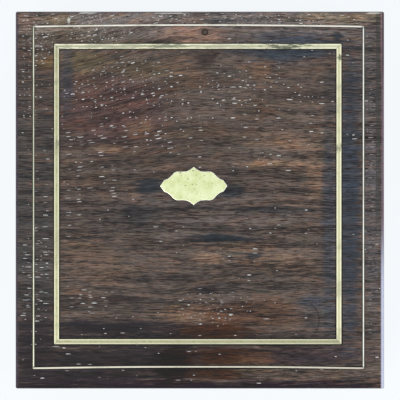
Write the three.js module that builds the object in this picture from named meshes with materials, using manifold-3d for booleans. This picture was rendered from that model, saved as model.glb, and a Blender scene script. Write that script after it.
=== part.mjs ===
// A rosewood silverware case with a brass-inlaid hinged lid, a well with knife racks and a lift-out tray.
// Millimetres, +Z up, +Y towards the hinges at the back. The origin is the centre of the underside.

import * as THREE from 'three';
import { mergeVertices } from 'three/addons/utils/BufferGeometryUtils.js';
import Module from 'manifold-3d';

const wasm = await Module();
wasm.setup();

// Case and lid.
const caseWidth = 300;
const caseDepth = 307;
const caseHeight = 102;
const wallThickness = 13;
const baseThickness = 9;
const lidWallHeight = 32;
const lidBoardThickness = 12;
const lidEdgeRadius = 3;
const cornerRadius = 1.5;
const rimGap = 0.3;
const glueLine = 0.05;
const softGap = 0.3;
const cutOverrun = 1;

// Brass let into the lid. Margins run from the lid's edge to the middle of the strip.
// The front and back thin lines were laid by hand and both bow towards the back.
const inlayDepth = 1.2;
const inlayFit = 0.4;
const bandWidth = 4.3;
const bandMargins = { left: 33.5, right: 36.9, back: 28.5, front: 38.4 };
const lineWidth = 1.3;
const lineMargins = { left: 14.8, right: 17, back: 12.5, front: 16.7 };
const lineBow = 1.3;
const cartoucheLength = 54.6;
const cartoucheHeight = 31;
const cartoucheShiftX = -5;
const cartoucheShiftY = 11.5;
const cartoucheBevel = 0.5;
const cartoucheBevelDrop = 0.25;

// A quarter of the cartouche's outline, from its top point to its side point,
// as shares of half its length and half its height.
const cartoucheOutlineShares = [
  [0, 1],
  [0.1, 0.86],
  [0.21, 0.765],
  [0.34, 0.75],
  [0.5, 0.755],
  [0.585, 0.69],
  [0.69, 0.49],
  [0.78, 0.37],
  [0.88, 0.3],
  [1, 0],
];

// Linings and knife racks in the well.
const floorLiningThickness = 2;
const sideLiningThickness = 3;
const rackThickness = 12;
const rackHeight = 34;
const rackFromEnd = 45;
const rackFit = 0.3;
const knifeCount = 12;
const handleSlotWidth = 13;
const bladeSlotWidth = 6;
const knifeSlotDepth = 22;

// Lift-out tray.
const trayHeight = 38;
const trayBelowRim = 4;
const trayFit = 0.8;
const traySeatGap = 0.3;
const trayWallThickness = 6;
const trayFloorThickness = 4;
const dividerThickness = 4;
const dividerBelowTop = 3;
const columnShare = 1 / 3;
const crossDividerShare = 0.56;
const tabWidth = 16;
const tabThickness = 1.2;
const tabAboveTray = 4;
const tabBelowTop = 20;

// Hinges. The pin lies inside the back face, and both back edges are bevelled to clear it.
const hingeInset = 3.4;
const hingeFromSide = 60;
const hingeLength = 50;
const leafWidth = 8.6;
const leafThickness = 1.5;
const leafFit = 0.15;
const knuckleCount = 5;
const knuckleRadius = 2.5;
const knuckleGap = 0.3;
const pinRadius = 0.95;
const pinFit = 0.1;
const barrelClearance = 0.4;
const hingeScrewDistance = 30;
const hingeScrewFromPin = 5.7;
const bevelAngle = THREE.MathUtils.degToRad(49);

// Screws.
const screwHeadRadius = 1.8;
const screwShankRadius = 1;
const screwHeadDepth = 1.2;
const screwLength = 10;
const screwTipLength = 2;
const screwSlotWidth = 0.5;
const screwSlotDepth = 0.5;
const screwFit = 0.15;

// Lock in the front wall, and the link plate in the lid.
const lockWidth = 50;
const lockThickness = 9;
const lockHeight = 26;
const lockPlateLength = 66;
const lockPlateThickness = 1.5;
const lockPlateWidth = 11;
const lockWall = 1;
const lockFloor = 2;
const lockFit = 0.15;
const lockScrewDistance = 56;
const stapleDistance = 24;
const stapleThickness = 2.5;
const stapleWidth = 6;
const stapleDrop = 10;
const stapleWire = 1.4;
const stapleSlotFit = 0.5;
const boltThickness = 2.6;
const boltBarHeight = 8.5;
const boltPostWidth = 3;
const boltProngLength = 5.5;
const boltProngGap = 0.5;
const boltClearance = 0.3;
const keyholeRadius = 2;
const keyholeSlotWidth = 2;
const keyholeSlotLength = 6;
const keyholeBelowRim = 15;
const keyNotchWidth = 7;
const keyNotchHeight = 4;
const escutcheonHeight = 30;
const escutcheonWidth = 19;
const escutcheonThickness = 1;

// Pad inside the lid.
const padThickness = 12;

// Numbers of steps along and round curved forms.
const bowSteps = 12;
const cornerSteps = 3;
const edgeSteps = 6;
const barrelSides = 24;
const screwSides = 12;
const keyholeSides = 16;

// Places worked out from the sizes.
const halfWidth = caseWidth / 2;
const halfDepth = caseDepth / 2;
const innerHalfWidth = halfWidth - wallThickness;
const innerHalfDepth = halfDepth - wallThickness;
const lidBottom = caseHeight + rimGap;
const lidBoardBottom = lidBottom + lidWallHeight + glueLine;
const lidTop = lidBoardBottom + lidBoardThickness;
const hingeY = halfDepth - hingeInset;
const hingeZ = caseHeight + rimGap / 2;
const floorLiningTop = baseThickness + glueLine + floorLiningThickness;
const trayBottom = caseHeight - trayBelowRim - trayHeight;
const trayTop = trayBottom + trayHeight;
const liningTop = trayBottom - traySeatGap;
const lockY = -innerHalfDepth - lockThickness / 2;
const lockScrewY = lockY - (lockPlateWidth - lockThickness) / 2;

// Materials, with colours as the photograph shows them.
const rosewood = new THREE.MeshStandardMaterial({ color: 0x4b3a35, roughness: 0.35, metalness: 0 });
const rosewoodTop = new THREE.MeshStandardMaterial({ color: 0x54443e, roughness: 0.3, metalness: 0 });
const secondaryWood = new THREE.MeshStandardMaterial({ color: 0x8a6a48, roughness: 0.6, metalness: 0 });
const inlayBrass = new THREE.MeshStandardMaterial({ color: 0xdfe3b4, roughness: 0.35, metalness: 0.9 });
const hardwareBrass = new THREE.MeshStandardMaterial({ color: 0xc3a35f, roughness: 0.35, metalness: 1 });
const steel = new THREE.MeshStandardMaterial({ color: 0x8f8f8c, roughness: 0.4, metalness: 1 });
const velvet = new THREE.MeshStandardMaterial({ color: 0x4a1220, roughness: 0.95, metalness: 0 });
const silk = new THREE.MeshStandardMaterial({ color: 0x6a1a2a, roughness: 0.6, metalness: 0 });

const caseGroup = new THREE.Group();
const lidGroup = new THREE.Group();
const trayGroup = new THREE.Group();

function add(group, name, geometry, material) {
  const mesh = new THREE.Mesh(geometry, material);
  mesh.name = name;
  group.add(mesh);
}

// Solids and boolean cuts.

function toSolid(geometry) {
  const bare = geometry.clone();
  bare.deleteAttribute('normal');
  bare.deleteAttribute('uv');
  const merged = mergeVertices(bare);
  const index = merged.index.array;
  return new wasm.Manifold(new wasm.Mesh({
    numProp: 3,
    vertProperties: new Float32Array(merged.attributes.position.array),
    triVerts: new Uint32Array(index),
  }));
}

function toGeometry(solid) {
  const mesh = solid.getMesh();
  const geometry = new THREE.BufferGeometry();
  geometry.setAttribute('position', new THREE.BufferAttribute(mesh.vertProperties, 3));
  geometry.setIndex(new THREE.BufferAttribute(mesh.triVerts, 1));
  geometry.computeVertexNormals();
  return geometry;
}

function cut(geometry, cutters) {
  let solid = toSolid(geometry);
  for (const cutter of cutters) {
    solid = solid.subtract(toSolid(cutter));
  }
  return toGeometry(solid);
}

function join(geometries) {
  let solid = toSolid(geometries[0]);
  for (const geometry of geometries.slice(1)) {
    solid = solid.add(toSolid(geometry));
  }
  return toGeometry(solid);
}

// A box between two corners.
function box(x0, x1, y0, y1, z0, z1) {
  const geometry = new THREE.BoxGeometry(x1 - x0, y1 - y0, z1 - z0);
  geometry.translate((x0 + x1) / 2, (y0 + y1) / 2, (z0 + z1) / 2);
  return geometry;
}

// An upright prism over a plan outline.
function prism(points, z0, z1) {
  const shape = new THREE.Shape(points.map(([x, y]) => new THREE.Vector2(x, y)));
  const geometry = new THREE.ExtrudeGeometry(shape, { depth: z1 - z0, bevelEnabled: false });
  geometry.translate(0, 0, z0);
  return geometry;
}

// A prism that lies along X, over an outline of Y and Z.
function prismAlongX(points, x0, x1) {
  const geometry = prism(points, x0, x1);
  geometry.applyMatrix4(new THREE.Matrix4().makeBasis(
    new THREE.Vector3(0, 1, 0), new THREE.Vector3(0, 0, 1), new THREE.Vector3(1, 0, 0)));
  return geometry;
}

// A prism that lies along Y, over an outline of X and Z.
function prismAlongY(points, y0, y1) {
  const geometry = prism(points, -y1, -y0);
  geometry.rotateX(Math.PI / 2);
  return geometry;
}

function rodAlongX(radius, x0, x1, y, z) {
  const geometry = new THREE.CylinderGeometry(radius, radius, x1 - x0, barrelSides);
  geometry.rotateZ(Math.PI / 2);
  geometry.translate((x0 + x1) / 2, y, z);
  return geometry;
}

// Plan outlines of four mitred pieces round a rectangle, each named by its side.
// A piece's ends are drawn in by the gap on two sides, and its outer corners can be rounded.
function mitredSide(side, rect, width, gap, radius) {
  const alongX = side === 'front' || side === 'back';
  const centreX = (rect.x0 + rect.x1) / 2;
  const centreY = (rect.y0 + rect.y1) / 2;
  const half = alongX ? (rect.x1 - rect.x0) / 2 : (rect.y1 - rect.y0) / 2;
  const reach = alongX ? (rect.y1 - rect.y0) / 2 : (rect.x1 - rect.x0) / 2;
  const drawIn = alongX ? gap : 0;
  const end = half - drawIn;
  const points = [];
  if (radius > 0) {
    for (let step = 0; step <= cornerSteps; step += 1) {
      const angle = (Math.PI / 4) * (1 - step / cornerSteps);
      points.push([-end + radius - radius * Math.sin(angle), -reach + radius - radius * Math.cos(angle)]);
    }
    for (let step = 0; step <= cornerSteps; step += 1) {
      const angle = (Math.PI / 4) * (step / cornerSteps);
      points.push([end - radius + radius * Math.sin(angle), -reach + radius - radius * Math.cos(angle)]);
    }
  } else {
    points.push([-end, -reach]);
    points.push([end, -reach]);
  }
  points.push([end - width, -reach + width]);
  points.push([-end + width, -reach + width]);
  const turns = { front: 0, right: 1, back: 2, left: 3 };
  const cos = [1, 0, -1, 0][turns[side]];
  const sin = [0, 1, 0, -1][turns[side]];
  return points.map(([x, y]) => [centreX + x * cos - y * sin, centreY + x * sin + y * cos]);
}

const sides = ['front', 'back', 'left', 'right'];
const outerRect = { x0: -halfWidth, x1: halfWidth, y0: -halfDepth, y1: halfDepth };

// Screws, and the holes that they sit in. A screw's head is flush at the given height,
// and its shank points down, or up where it is turned over.

function screwProfile(spread, headRise, extraLength) {
  const shank = screwShankRadius + spread;
  const head = screwHeadRadius + spread;
  const points = [];
  points.push([0, -screwLength - extraLength]);
  points.push([shank, -screwLength + screwTipLength - extraLength]);
  points.push([shank, -screwHeadDepth]);
  points.push([head, 0]);
  if (headRise > 0) {
    points.push([head, headRise]);
  }
  points.push([0, headRise]);
  return points.map(([x, y]) => new THREE.Vector2(x, y));
}

function placeUpright(geometry, x, y, z, pointsUp) {
  geometry.rotateX(Math.PI / 2);
  if (pointsUp) {
    geometry.rotateX(Math.PI);
  }
  geometry.translate(x, y, z);
  return geometry;
}

function screwHole(x, y, z, pointsUp) {
  const profile = screwProfile(screwFit, cutOverrun, screwFit);
  return placeUpright(new THREE.LatheGeometry(profile, screwSides), x, y, z, pointsUp);
}

function screw(x, y, z, pointsUp) {
  const body = new THREE.LatheGeometry(screwProfile(0, 0, 0), screwSides);
  const slot = box(-screwHeadRadius - cutOverrun, screwHeadRadius + cutOverrun,
    -screwSlotDepth, cutOverrun, -screwSlotWidth / 2, screwSlotWidth / 2);
  return placeUpright(cut(body, [slot]), x, y, z, pointsUp);
}

// Bevels along the back edges, which meet and stop the lid a little past upright.
const bevelReach = hingeInset + cutOverrun;
const bevelDrop = bevelReach * Math.tan(bevelAngle);

function backBevel(direction) {
  return prismAlongX(direction > 0
    ? [[hingeY, hingeZ], [hingeY + bevelReach, hingeZ], [hingeY + bevelReach, hingeZ + bevelDrop]]
    : [[hingeY, hingeZ], [hingeY + bevelReach, hingeZ - bevelDrop], [hingeY + bevelReach, hingeZ]],
  -halfWidth - cutOverrun, halfWidth + cutOverrun);
}

// Hinges. The case's leaf has the outer and middle knuckles, the lid's leaf the other two.
const hingeCentreX = halfWidth - hingeFromSide;
const hingeCentres = { left: -hingeCentreX, right: hingeCentreX };
const knuckleLength = hingeLength / knuckleCount;
const leafBackY = hingeY - knuckleRadius - barrelClearance;
const screwOffsets = { outer: -hingeScrewDistance / 2, inner: hingeScrewDistance / 2 };

function hingeLeaf(centreX, onLid) {
  const z0 = onLid ? lidBottom : caseHeight - leafThickness;
  const z1 = z0 + leafThickness;
  const pieces = [box(centreX - hingeLength / 2, centreX + hingeLength / 2,
    hingeY - leafWidth, leafBackY, z0, z1)];
  for (let knuckle = onLid ? 1 : 0; knuckle < knuckleCount; knuckle += 2) {
    const start = centreX - hingeLength / 2 + knuckle * knuckleLength + knuckleGap / 2;
    const end = start + knuckleLength - knuckleGap;
    pieces.push(box(start, end, leafBackY - cutOverrun, hingeY - pinRadius - pinFit, z0, z1));
    pieces.push(rodAlongX(knuckleRadius, start, end, hingeY, hingeZ));
  }
  const bore = rodAlongX(pinRadius + pinFit, centreX - hingeLength, centreX + hingeLength, hingeY, hingeZ);
  const holes = Object.values(screwOffsets).map((offset) => (
    screwHole(centreX + offset, hingeY - hingeScrewFromPin, onLid ? z0 : z1, onLid)));
  return cut(join(pieces), [bore, ...holes]);
}

function hingePockets(onLid) {
  const pockets = [];
  for (const centreX of Object.values(hingeCentres)) {
    const x0 = centreX - hingeLength / 2 - leafFit;
    const x1 = centreX + hingeLength / 2 + leafFit;
    const z0 = onLid ? lidBottom - cutOverrun : caseHeight - leafThickness - leafFit;
    const z1 = onLid ? lidBottom + leafThickness + leafFit : caseHeight + cutOverrun;
    pockets.push(box(x0, x1, hingeY - leafWidth - leafFit, hingeY, z0, z1));
    pockets.push(rodAlongX(knuckleRadius + barrelClearance, x0, x1, hingeY, hingeZ));
    for (const offset of Object.values(screwOffsets)) {
      const rim = onLid ? lidBottom : caseHeight;
      pockets.push(screwHole(centreX + offset, hingeY - hingeScrewFromPin, rim, onLid));
    }
  }
  return pockets;
}

// Cartouche outline, which the escutcheon repeats on end and smaller.
function cartouchePoints(length, height, spread) {
  const quarter = cartoucheOutlineShares.map(([x, y]) => [
    x * (length / 2 + spread),
    y * (height / 2 + spread),
  ]);
  const points = [];
  points.push(...quarter);
  points.push(...quarter.slice(0, -1).reverse().map(([x, y]) => [x, -y]));
  points.push(...quarter.slice(1).map(([x, y]) => [-x, -y]));
  points.push(...quarter.slice(1, -1).reverse().map(([x, y]) => [-x, y]));
  return points.reverse();
}

// Keyhole through the front, a round hole with a slot below it.
const keyholeZ = caseHeight - keyholeBelowRim;

function keyhole(spread) {
  const y0 = -halfDepth - cutOverrun;
  const y1 = lockY;
  const round = new THREE.CylinderGeometry(
    keyholeRadius + spread, keyholeRadius + spread, y1 - y0, keyholeSides);
  round.translate(0, (y0 + y1) / 2, keyholeZ);
  const halfSlot = keyholeSlotWidth / 2 + spread;
  const slot = box(-halfSlot, halfSlot, y0, y1, keyholeZ - keyholeSlotLength - spread, keyholeZ);
  return join([round, slot]);
}

// Lock, a brass box let into the front wall from inside, with its plate flush with the rim.
const lockTop = caseHeight - lockPlateThickness;
const lockBottom = caseHeight - lockHeight;
const lockCavityFloor = lockBottom + lockFloor;
const lockPlateY0 = -innerHalfDepth - lockPlateWidth;
const lockPlateY1 = -innerHalfDepth;
const stapleXs = [-stapleDistance / 2, stapleDistance / 2];
const lockScrewXs = { left: -lockScrewDistance / 2, right: lockScrewDistance / 2 };

function lockBody() {
  const shell = join([
    box(-lockWidth / 2, lockWidth / 2, lockPlateY1 - lockThickness, lockPlateY1, lockBottom, caseHeight),
    box(-lockPlateLength / 2, lockPlateLength / 2, lockPlateY0, lockPlateY1, lockTop, caseHeight),
  ]);
  const cavity = box(-lockWidth / 2 + lockWall, lockWidth / 2 - lockWall,
    lockPlateY1 - lockThickness + lockWall, lockPlateY1 - lockWall, lockCavityFloor, lockTop);
  const slots = stapleXs.map((x) => box(
    x - stapleThickness / 2 - stapleSlotFit, x + stapleThickness / 2 + stapleSlotFit,
    lockY - stapleWidth / 2 - stapleSlotFit, lockY + stapleWidth / 2 + stapleSlotFit,
    lockTop - cutOverrun, caseHeight + cutOverrun));
  const holes = Object.values(lockScrewXs).map((x) => screwHole(x, lockScrewY, caseHeight, false));
  return cut(shell, [cavity, keyhole(0), ...slots, ...holes]);
}

function lockPockets() {
  const pockets = [];
  pockets.push(box(-lockWidth / 2 - lockFit, lockWidth / 2 + lockFit,
    lockPlateY1 - lockThickness - lockFit, lockPlateY1 + cutOverrun,
    lockBottom - lockFit, caseHeight + cutOverrun));
  pockets.push(box(-lockPlateLength / 2 - lockFit, lockPlateLength / 2 + lockFit,
    lockPlateY0 - lockFit, lockPlateY1 + cutOverrun, lockTop - lockFit, caseHeight + cutOverrun));
  for (const x of Object.values(lockScrewXs)) {
    pockets.push(screwHole(x, lockScrewY, caseHeight, false));
  }
  return pockets;
}

// Bolt, one flat plate whose two prongs slide sideways through the staples' eyes.
const eyeBottom = lidBottom - stapleDrop + stapleWire;
const eyeTop = lidBottom - lockPlateThickness - stapleWire;
const prongBottom = eyeBottom + boltClearance;
const prongTop = eyeTop - boltClearance;
const boltBottom = lockCavityFloor + boltClearance;
const boltBarTop = boltBottom + boltBarHeight;

function boltOutline() {
  const tip = -stapleThickness / 2 - boltProngGap;
  const root = tip - boltProngLength;
  const back = root - boltPostWidth;
  const [left, right] = stapleXs;
  return [
    [left + back, boltBottom],
    [-keyNotchWidth / 2, boltBottom],
    [-keyNotchWidth / 2, boltBottom + keyNotchHeight],
    [keyNotchWidth / 2, boltBottom + keyNotchHeight],
    [keyNotchWidth / 2, boltBottom],
    [right + root, boltBottom],
    [right + root, prongBottom],
    [right + tip, prongBottom],
    [right + tip, prongTop],
    [right + back, prongTop],
    [right + back, boltBarTop],
    [left + root, boltBarTop],
    [left + root, prongBottom],
    [left + tip, prongBottom],
    [left + tip, prongTop],
    [left + back, prongTop],
  ];
}

function lockBolt() {
  return prismAlongY(boltOutline(), lockY - boltThickness / 2, lockY + boltThickness / 2);
}

// Link plate, let into the underside of the lid's front wall, with two staples that drop into the lock.
function linkPlate() {
  const pieces = [box(-lockPlateLength / 2, lockPlateLength / 2, lockPlateY0, lockPlateY1,
    lidBottom, lidBottom + lockPlateThickness)];
  for (const x of stapleXs) {
    pieces.push(box(x - stapleThickness / 2, x + stapleThickness / 2,
      lockY - stapleWidth / 2, lockY + stapleWidth / 2,
      lidBottom - stapleDrop, lidBottom + lockPlateThickness / 2));
  }
  const eyes = stapleXs.map((x) => box(
    x - stapleThickness / 2 - cutOverrun, x + stapleThickness / 2 + cutOverrun,
    lockY - stapleWidth / 2 + stapleWire, lockY + stapleWidth / 2 - stapleWire, eyeBottom, eyeTop));
  const holes = Object.values(lockScrewXs).map((x) => screwHole(x, lockScrewY, lidBottom, true));
  return cut(join(pieces), [...eyes, ...holes]);
}

function linkPlatePockets() {
  const pockets = [box(-lockPlateLength / 2 - lockFit, lockPlateLength / 2 + lockFit,
    lockPlateY0 - lockFit, lockPlateY1 + cutOverrun,
    lidBottom - cutOverrun, lidBottom + lockPlateThickness + lockFit)];
  for (const x of Object.values(lockScrewXs)) {
    pockets.push(screwHole(x, lockScrewY, lidBottom, true));
  }
  return pockets;
}

// Escutcheon, let in flush round the keyhole.
function escutcheonPlate(spread, y0, y1) {
  const points = cartouchePoints(escutcheonHeight, escutcheonWidth, spread)
    .map(([x, y]) => [y, -x + keyholeZ - keyholeSlotLength / 2]);
  return prismAlongY(points, y0, y1);
}

// Case walls and base.
const caseCuts = {
  front: [
    ...lockPockets(),
    keyhole(inlayFit),
    escutcheonPlate(inlayFit, -halfDepth - cutOverrun, -halfDepth + escutcheonThickness + glueLine),
  ],
  back: [backBevel(-1), ...hingePockets(false)],
  left: [backBevel(-1)],
  right: [backBevel(-1)],
};
for (const side of sides) {
  const outline = mitredSide(side, outerRect, wallThickness, glueLine, cornerRadius);
  add(caseGroup, `case_${side}`, cut(prism(outline, 0, caseHeight), caseCuts[side]), rosewood);
}
add(caseGroup, 'base_board', box(
  -innerHalfWidth + glueLine, innerHalfWidth - glueLine,
  -innerHalfDepth + glueLine, innerHalfDepth - glueLine, 0, baseThickness), secondaryWood);

// Linings. The side linings stand on the floor lining, and the tray rests on their tops.
const liningHalfWidth = innerHalfWidth - glueLine;
const liningHalfDepth = innerHalfDepth - glueLine;
const liningBottom = floorLiningTop + glueLine;
add(caseGroup, 'well_floor_lining', box(-liningHalfWidth, liningHalfWidth,
  -liningHalfDepth, liningHalfDepth, baseThickness + glueLine, floorLiningTop), velvet);
for (const [side, sign] of [['left', -1], ['right', 1]]) {
  const outer = sign * liningHalfWidth;
  const inner = sign * (liningHalfWidth - sideLiningThickness);
  add(caseGroup, `well_lining_${side}`, box(Math.min(outer, inner), Math.max(outer, inner),
    -liningHalfDepth, liningHalfDepth, liningBottom, liningTop), velvet);
}
const wellHalfWidth = liningHalfWidth - sideLiningThickness;
const wellHalfDepth = liningHalfDepth - sideLiningThickness;
for (const [side, sign] of [['front', -1], ['back', 1]]) {
  const outer = sign * liningHalfDepth;
  const inner = sign * wellHalfDepth;
  add(caseGroup, `well_lining_${side}`, box(-wellHalfWidth + glueLine, wellHalfWidth - glueLine,
    Math.min(outer, inner), Math.max(outer, inner), liningBottom, liningTop), velvet);
}

// Knife racks. The knives lie head to tail, so wide and narrow slots take turns,
// and a wide slot in one rack faces a narrow one in the other.
const rackHalfLength = wellHalfWidth - rackFit;
const knifePitch = (2 * rackHalfLength) / knifeCount;
const rackTop = liningBottom + rackHeight;
const rackYs = { front: -wellHalfDepth + rackFromEnd, back: wellHalfDepth - rackFromEnd };
for (const [number, [side, y]] of Object.entries(rackYs).entries()) {
  const slots = [];
  for (let knife = 0; knife < knifeCount; knife += 1) {
    const slotWidth = (knife + number) % 2 === 0 ? handleSlotWidth : bladeSlotWidth;
    const x = -rackHalfLength + (knife + 1 / 2) * knifePitch;
    slots.push(box(x - slotWidth / 2, x + slotWidth / 2, y - rackThickness, y + rackThickness,
      rackTop - knifeSlotDepth, rackTop + cutOverrun));
  }
  const block = box(-rackHalfLength, rackHalfLength,
    y - rackThickness / 2, y + rackThickness / 2, liningBottom, rackTop);
  add(caseGroup, `knife_rack_${side}`, cut(block, slots), velvet);
}

// Lock, its screws and the escutcheon.
add(caseGroup, 'lock_body', lockBody(), hardwareBrass);
add(caseGroup, 'lock_bolt', lockBolt(), steel);
for (const [side, x] of Object.entries(lockScrewXs)) {
  add(caseGroup, `lock_screw_${side}`, screw(x, lockScrewY, caseHeight, false), hardwareBrass);
}
add(caseGroup, 'escutcheon', cut(
  escutcheonPlate(0, -halfDepth, -halfDepth + escutcheonThickness), [keyhole(0)]), inlayBrass);

// Hinges.
for (const [side, centreX] of Object.entries(hingeCentres)) {
  add(caseGroup, `hinge_leaf_case_${side}`, hingeLeaf(centreX, false), hardwareBrass);
  add(lidGroup, `hinge_leaf_lid_${side}`, hingeLeaf(centreX, true), hardwareBrass);
  add(caseGroup, `hinge_pin_${side}`, rodAlongX(pinRadius,
    centreX - hingeLength / 2, centreX + hingeLength / 2, hingeY, hingeZ), steel);
  for (const [place, offset] of Object.entries(screwOffsets)) {
    const x = centreX + Math.sign(centreX) * -offset;
    const y = hingeY - hingeScrewFromPin;
    add(caseGroup, `hinge_screw_case_${side}_${place}`, screw(x, y, caseHeight, false), hardwareBrass);
    add(lidGroup, `hinge_screw_lid_${side}_${place}`, screw(x, y, lidBottom, true), hardwareBrass);
  }
}

// Lid walls.
const lidCuts = {
  front: linkPlatePockets(),
  back: [backBevel(1), ...hingePockets(true)],
  left: [backBevel(1)],
  right: [backBevel(1)],
};
for (const side of sides) {
  const outline = mitredSide(side, outerRect, wallThickness, glueLine, cornerRadius);
  const wall = prism(outline, lidBottom, lidBottom + lidWallHeight);
  add(lidGroup, `lid_${side}`, cut(wall, lidCuts[side]), rosewood);
}

// Rectangle through the middle of an inlaid strip, moved out by half the strip's width.
function inlayRect(margins, width) {
  return {
    x0: -halfWidth + margins.left - width / 2,
    x1: halfWidth - margins.right + width / 2,
    y0: -halfDepth + margins.front - width / 2,
    y1: halfDepth - margins.back + width / 2,
  };
}

// Plan outline of a strip along X whose middle bows towards the back.
function bowedStrip(x0, x1, y0, y1, bow) {
  const near = [];
  const far = [];
  for (let step = 0; step <= bowSteps; step += 1) {
    const along = step / bowSteps;
    const rise = bow * (1 - (2 * along - 1) ** 2);
    near.push([x0 + along * (x1 - x0), y0 + rise]);
    far.unshift([x0 + along * (x1 - x0), y1 + rise]);
  }
  return [...near, ...far];
}

// Grooves for four strips. The side grooves open into the middle of the front and back ones.
function grooves(margins, width, bow) {
  const fitted = width + 2 * inlayFit;
  const { x0, x1, y0, y1 } = inlayRect(margins, fitted);
  const z0 = lidTop - inlayDepth - glueLine;
  const z1 = lidTop + cutOverrun;
  return [
    prism(bowedStrip(x0, x1, y0, y0 + fitted, bow), z0, z1),
    prism(bowedStrip(x0, x1, y1 - fitted, y1, bow), z0, z1),
    box(x0, x0 + fitted, y0 + fitted / 2, y1 - fitted / 2, z0, z1),
    box(x1 - fitted, x1, y0 + fitted / 2, y1 - fitted / 2, z0, z1),
  ];
}

// Lid board, a slab with rounded upright corners and a quarter round along its top edge.
function lidBoardSlab() {
  const ringSteps = 4 * (cornerSteps + 1);
  const rings = [];
  rings.push({ inset: 0, z: lidBoardBottom });
  for (let step = 0; step <= edgeSteps; step += 1) {
    const angle = (Math.PI / 2) * (step / edgeSteps);
    rings.push({
      inset: lidEdgeRadius * (1 - Math.cos(angle)),
      z: lidTop - lidEdgeRadius * (1 - Math.sin(angle)),
    });
  }
  const positions = [];
  for (const { inset, z } of rings) {
    for (let corner = 0; corner < 4; corner += 1) {
      const signX = corner === 0 || corner === 3 ? 1 : -1;
      const signY = corner < 2 ? 1 : -1;
      for (let step = 0; step <= cornerSteps; step += 1) {
        const angle = (Math.PI / 2) * (corner + step / cornerSteps);
        positions.push(
          signX * (halfWidth - inset - cornerRadius) + cornerRadius * Math.cos(angle),
          signY * (halfDepth - inset - cornerRadius) + cornerRadius * Math.sin(angle), z);
      }
    }
  }
  const index = [];
  for (let ring = 0; ring + 1 < rings.length; ring += 1) {
    for (let step = 0; step < ringSteps; step += 1) {
      const a = ring * ringSteps + step;
      const b = ring * ringSteps + (step + 1) % ringSteps;
      index.push(a, b, b + ringSteps, a, b + ringSteps, a + ringSteps);
    }
  }
  const top = (rings.length - 1) * ringSteps;
  for (let step = 1; step + 1 < ringSteps; step += 1) {
    index.push(0, step + 1, step);
    index.push(top, top + step, top + step + 1);
  }
  const geometry = new THREE.BufferGeometry();
  geometry.setAttribute('position', new THREE.Float32BufferAttribute(positions, 3));
  geometry.setIndex(index);
  return geometry;
}

function cartoucheRecess(z0, z1) {
  const geometry = prism(cartouchePoints(cartoucheLength, cartoucheHeight, inlayFit), z0, z1);
  geometry.translate(cartoucheShiftX, cartoucheShiftY, 0);
  return geometry;
}

// The cartouche's edges are filed to a small bevel, above and below.
function cartouchePlate(z0, z1) {
  const points = cartouchePoints(cartoucheLength, cartoucheHeight, 0);
  const shape = new THREE.Shape(points.map(([x, y]) => new THREE.Vector2(x, y)));
  const geometry = new THREE.ExtrudeGeometry(shape, {
    depth: z1 - z0 - 2 * cartoucheBevelDrop,
    bevelThickness: cartoucheBevelDrop,
    bevelSize: cartoucheBevel,
    bevelOffset: -cartoucheBevel,
    bevelSegments: 1,
  });
  geometry.translate(cartoucheShiftX, cartoucheShiftY, z0 + cartoucheBevelDrop);
  return geometry;
}

add(lidGroup, 'lid_board', cut(lidBoardSlab(), [
  ...grooves(bandMargins, bandWidth, 0),
  ...grooves(lineMargins, lineWidth, lineBow),
  cartoucheRecess(lidTop - inlayDepth - glueLine, lidTop + cutOverrun),
]), rosewoodTop);

// Inlaid brass, its top flush with the board. The wide band is mitred, the thin line butts.
const bandRect = inlayRect(bandMargins, bandWidth);
for (const side of sides) {
  const outline = mitredSide(side, bandRect, bandWidth, glueLine, 0);
  add(lidGroup, `brass_band_${side}`, prism(outline, lidTop - inlayDepth, lidTop), inlayBrass);
}
const lineRect = inlayRect(lineMargins, lineWidth);
for (const [side, y] of [['front', lineRect.y0], ['back', lineRect.y1 - lineWidth]]) {
  const outline = bowedStrip(lineRect.x0, lineRect.x1, y, y + lineWidth, lineBow);
  add(lidGroup, `brass_line_${side}`, prism(outline, lidTop - inlayDepth, lidTop), inlayBrass);
}
const bowAtButt = lineBow * (1 - (1 - 2 * lineWidth / (lineRect.x1 - lineRect.x0)) ** 2);
for (const [side, x] of [['left', lineRect.x0], ['right', lineRect.x1 - lineWidth]]) {
  add(lidGroup, `brass_line_${side}`, box(x, x + lineWidth,
    lineRect.y0 + lineWidth + bowAtButt + glueLine, lineRect.y1 - lineWidth - glueLine,
    lidTop - inlayDepth, lidTop), inlayBrass);
}
add(lidGroup, 'cartouche', cartouchePlate(lidTop - inlayDepth, lidTop), inlayBrass);

// Link plate, its screws and the pad.
add(lidGroup, 'link_plate', linkPlate(), hardwareBrass);
for (const [side, x] of Object.entries(lockScrewXs)) {
  add(lidGroup, `link_plate_screw_${side}`, screw(x, lockScrewY, lidBottom, true), hardwareBrass);
}
const padTop = lidBoardBottom - softGap;
add(lidGroup, 'lid_pad', box(
  -innerHalfWidth + softGap, innerHalfWidth - softGap,
  -innerHalfDepth + softGap, innerHalfDepth - softGap, padTop - padThickness, padTop), silk);

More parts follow.
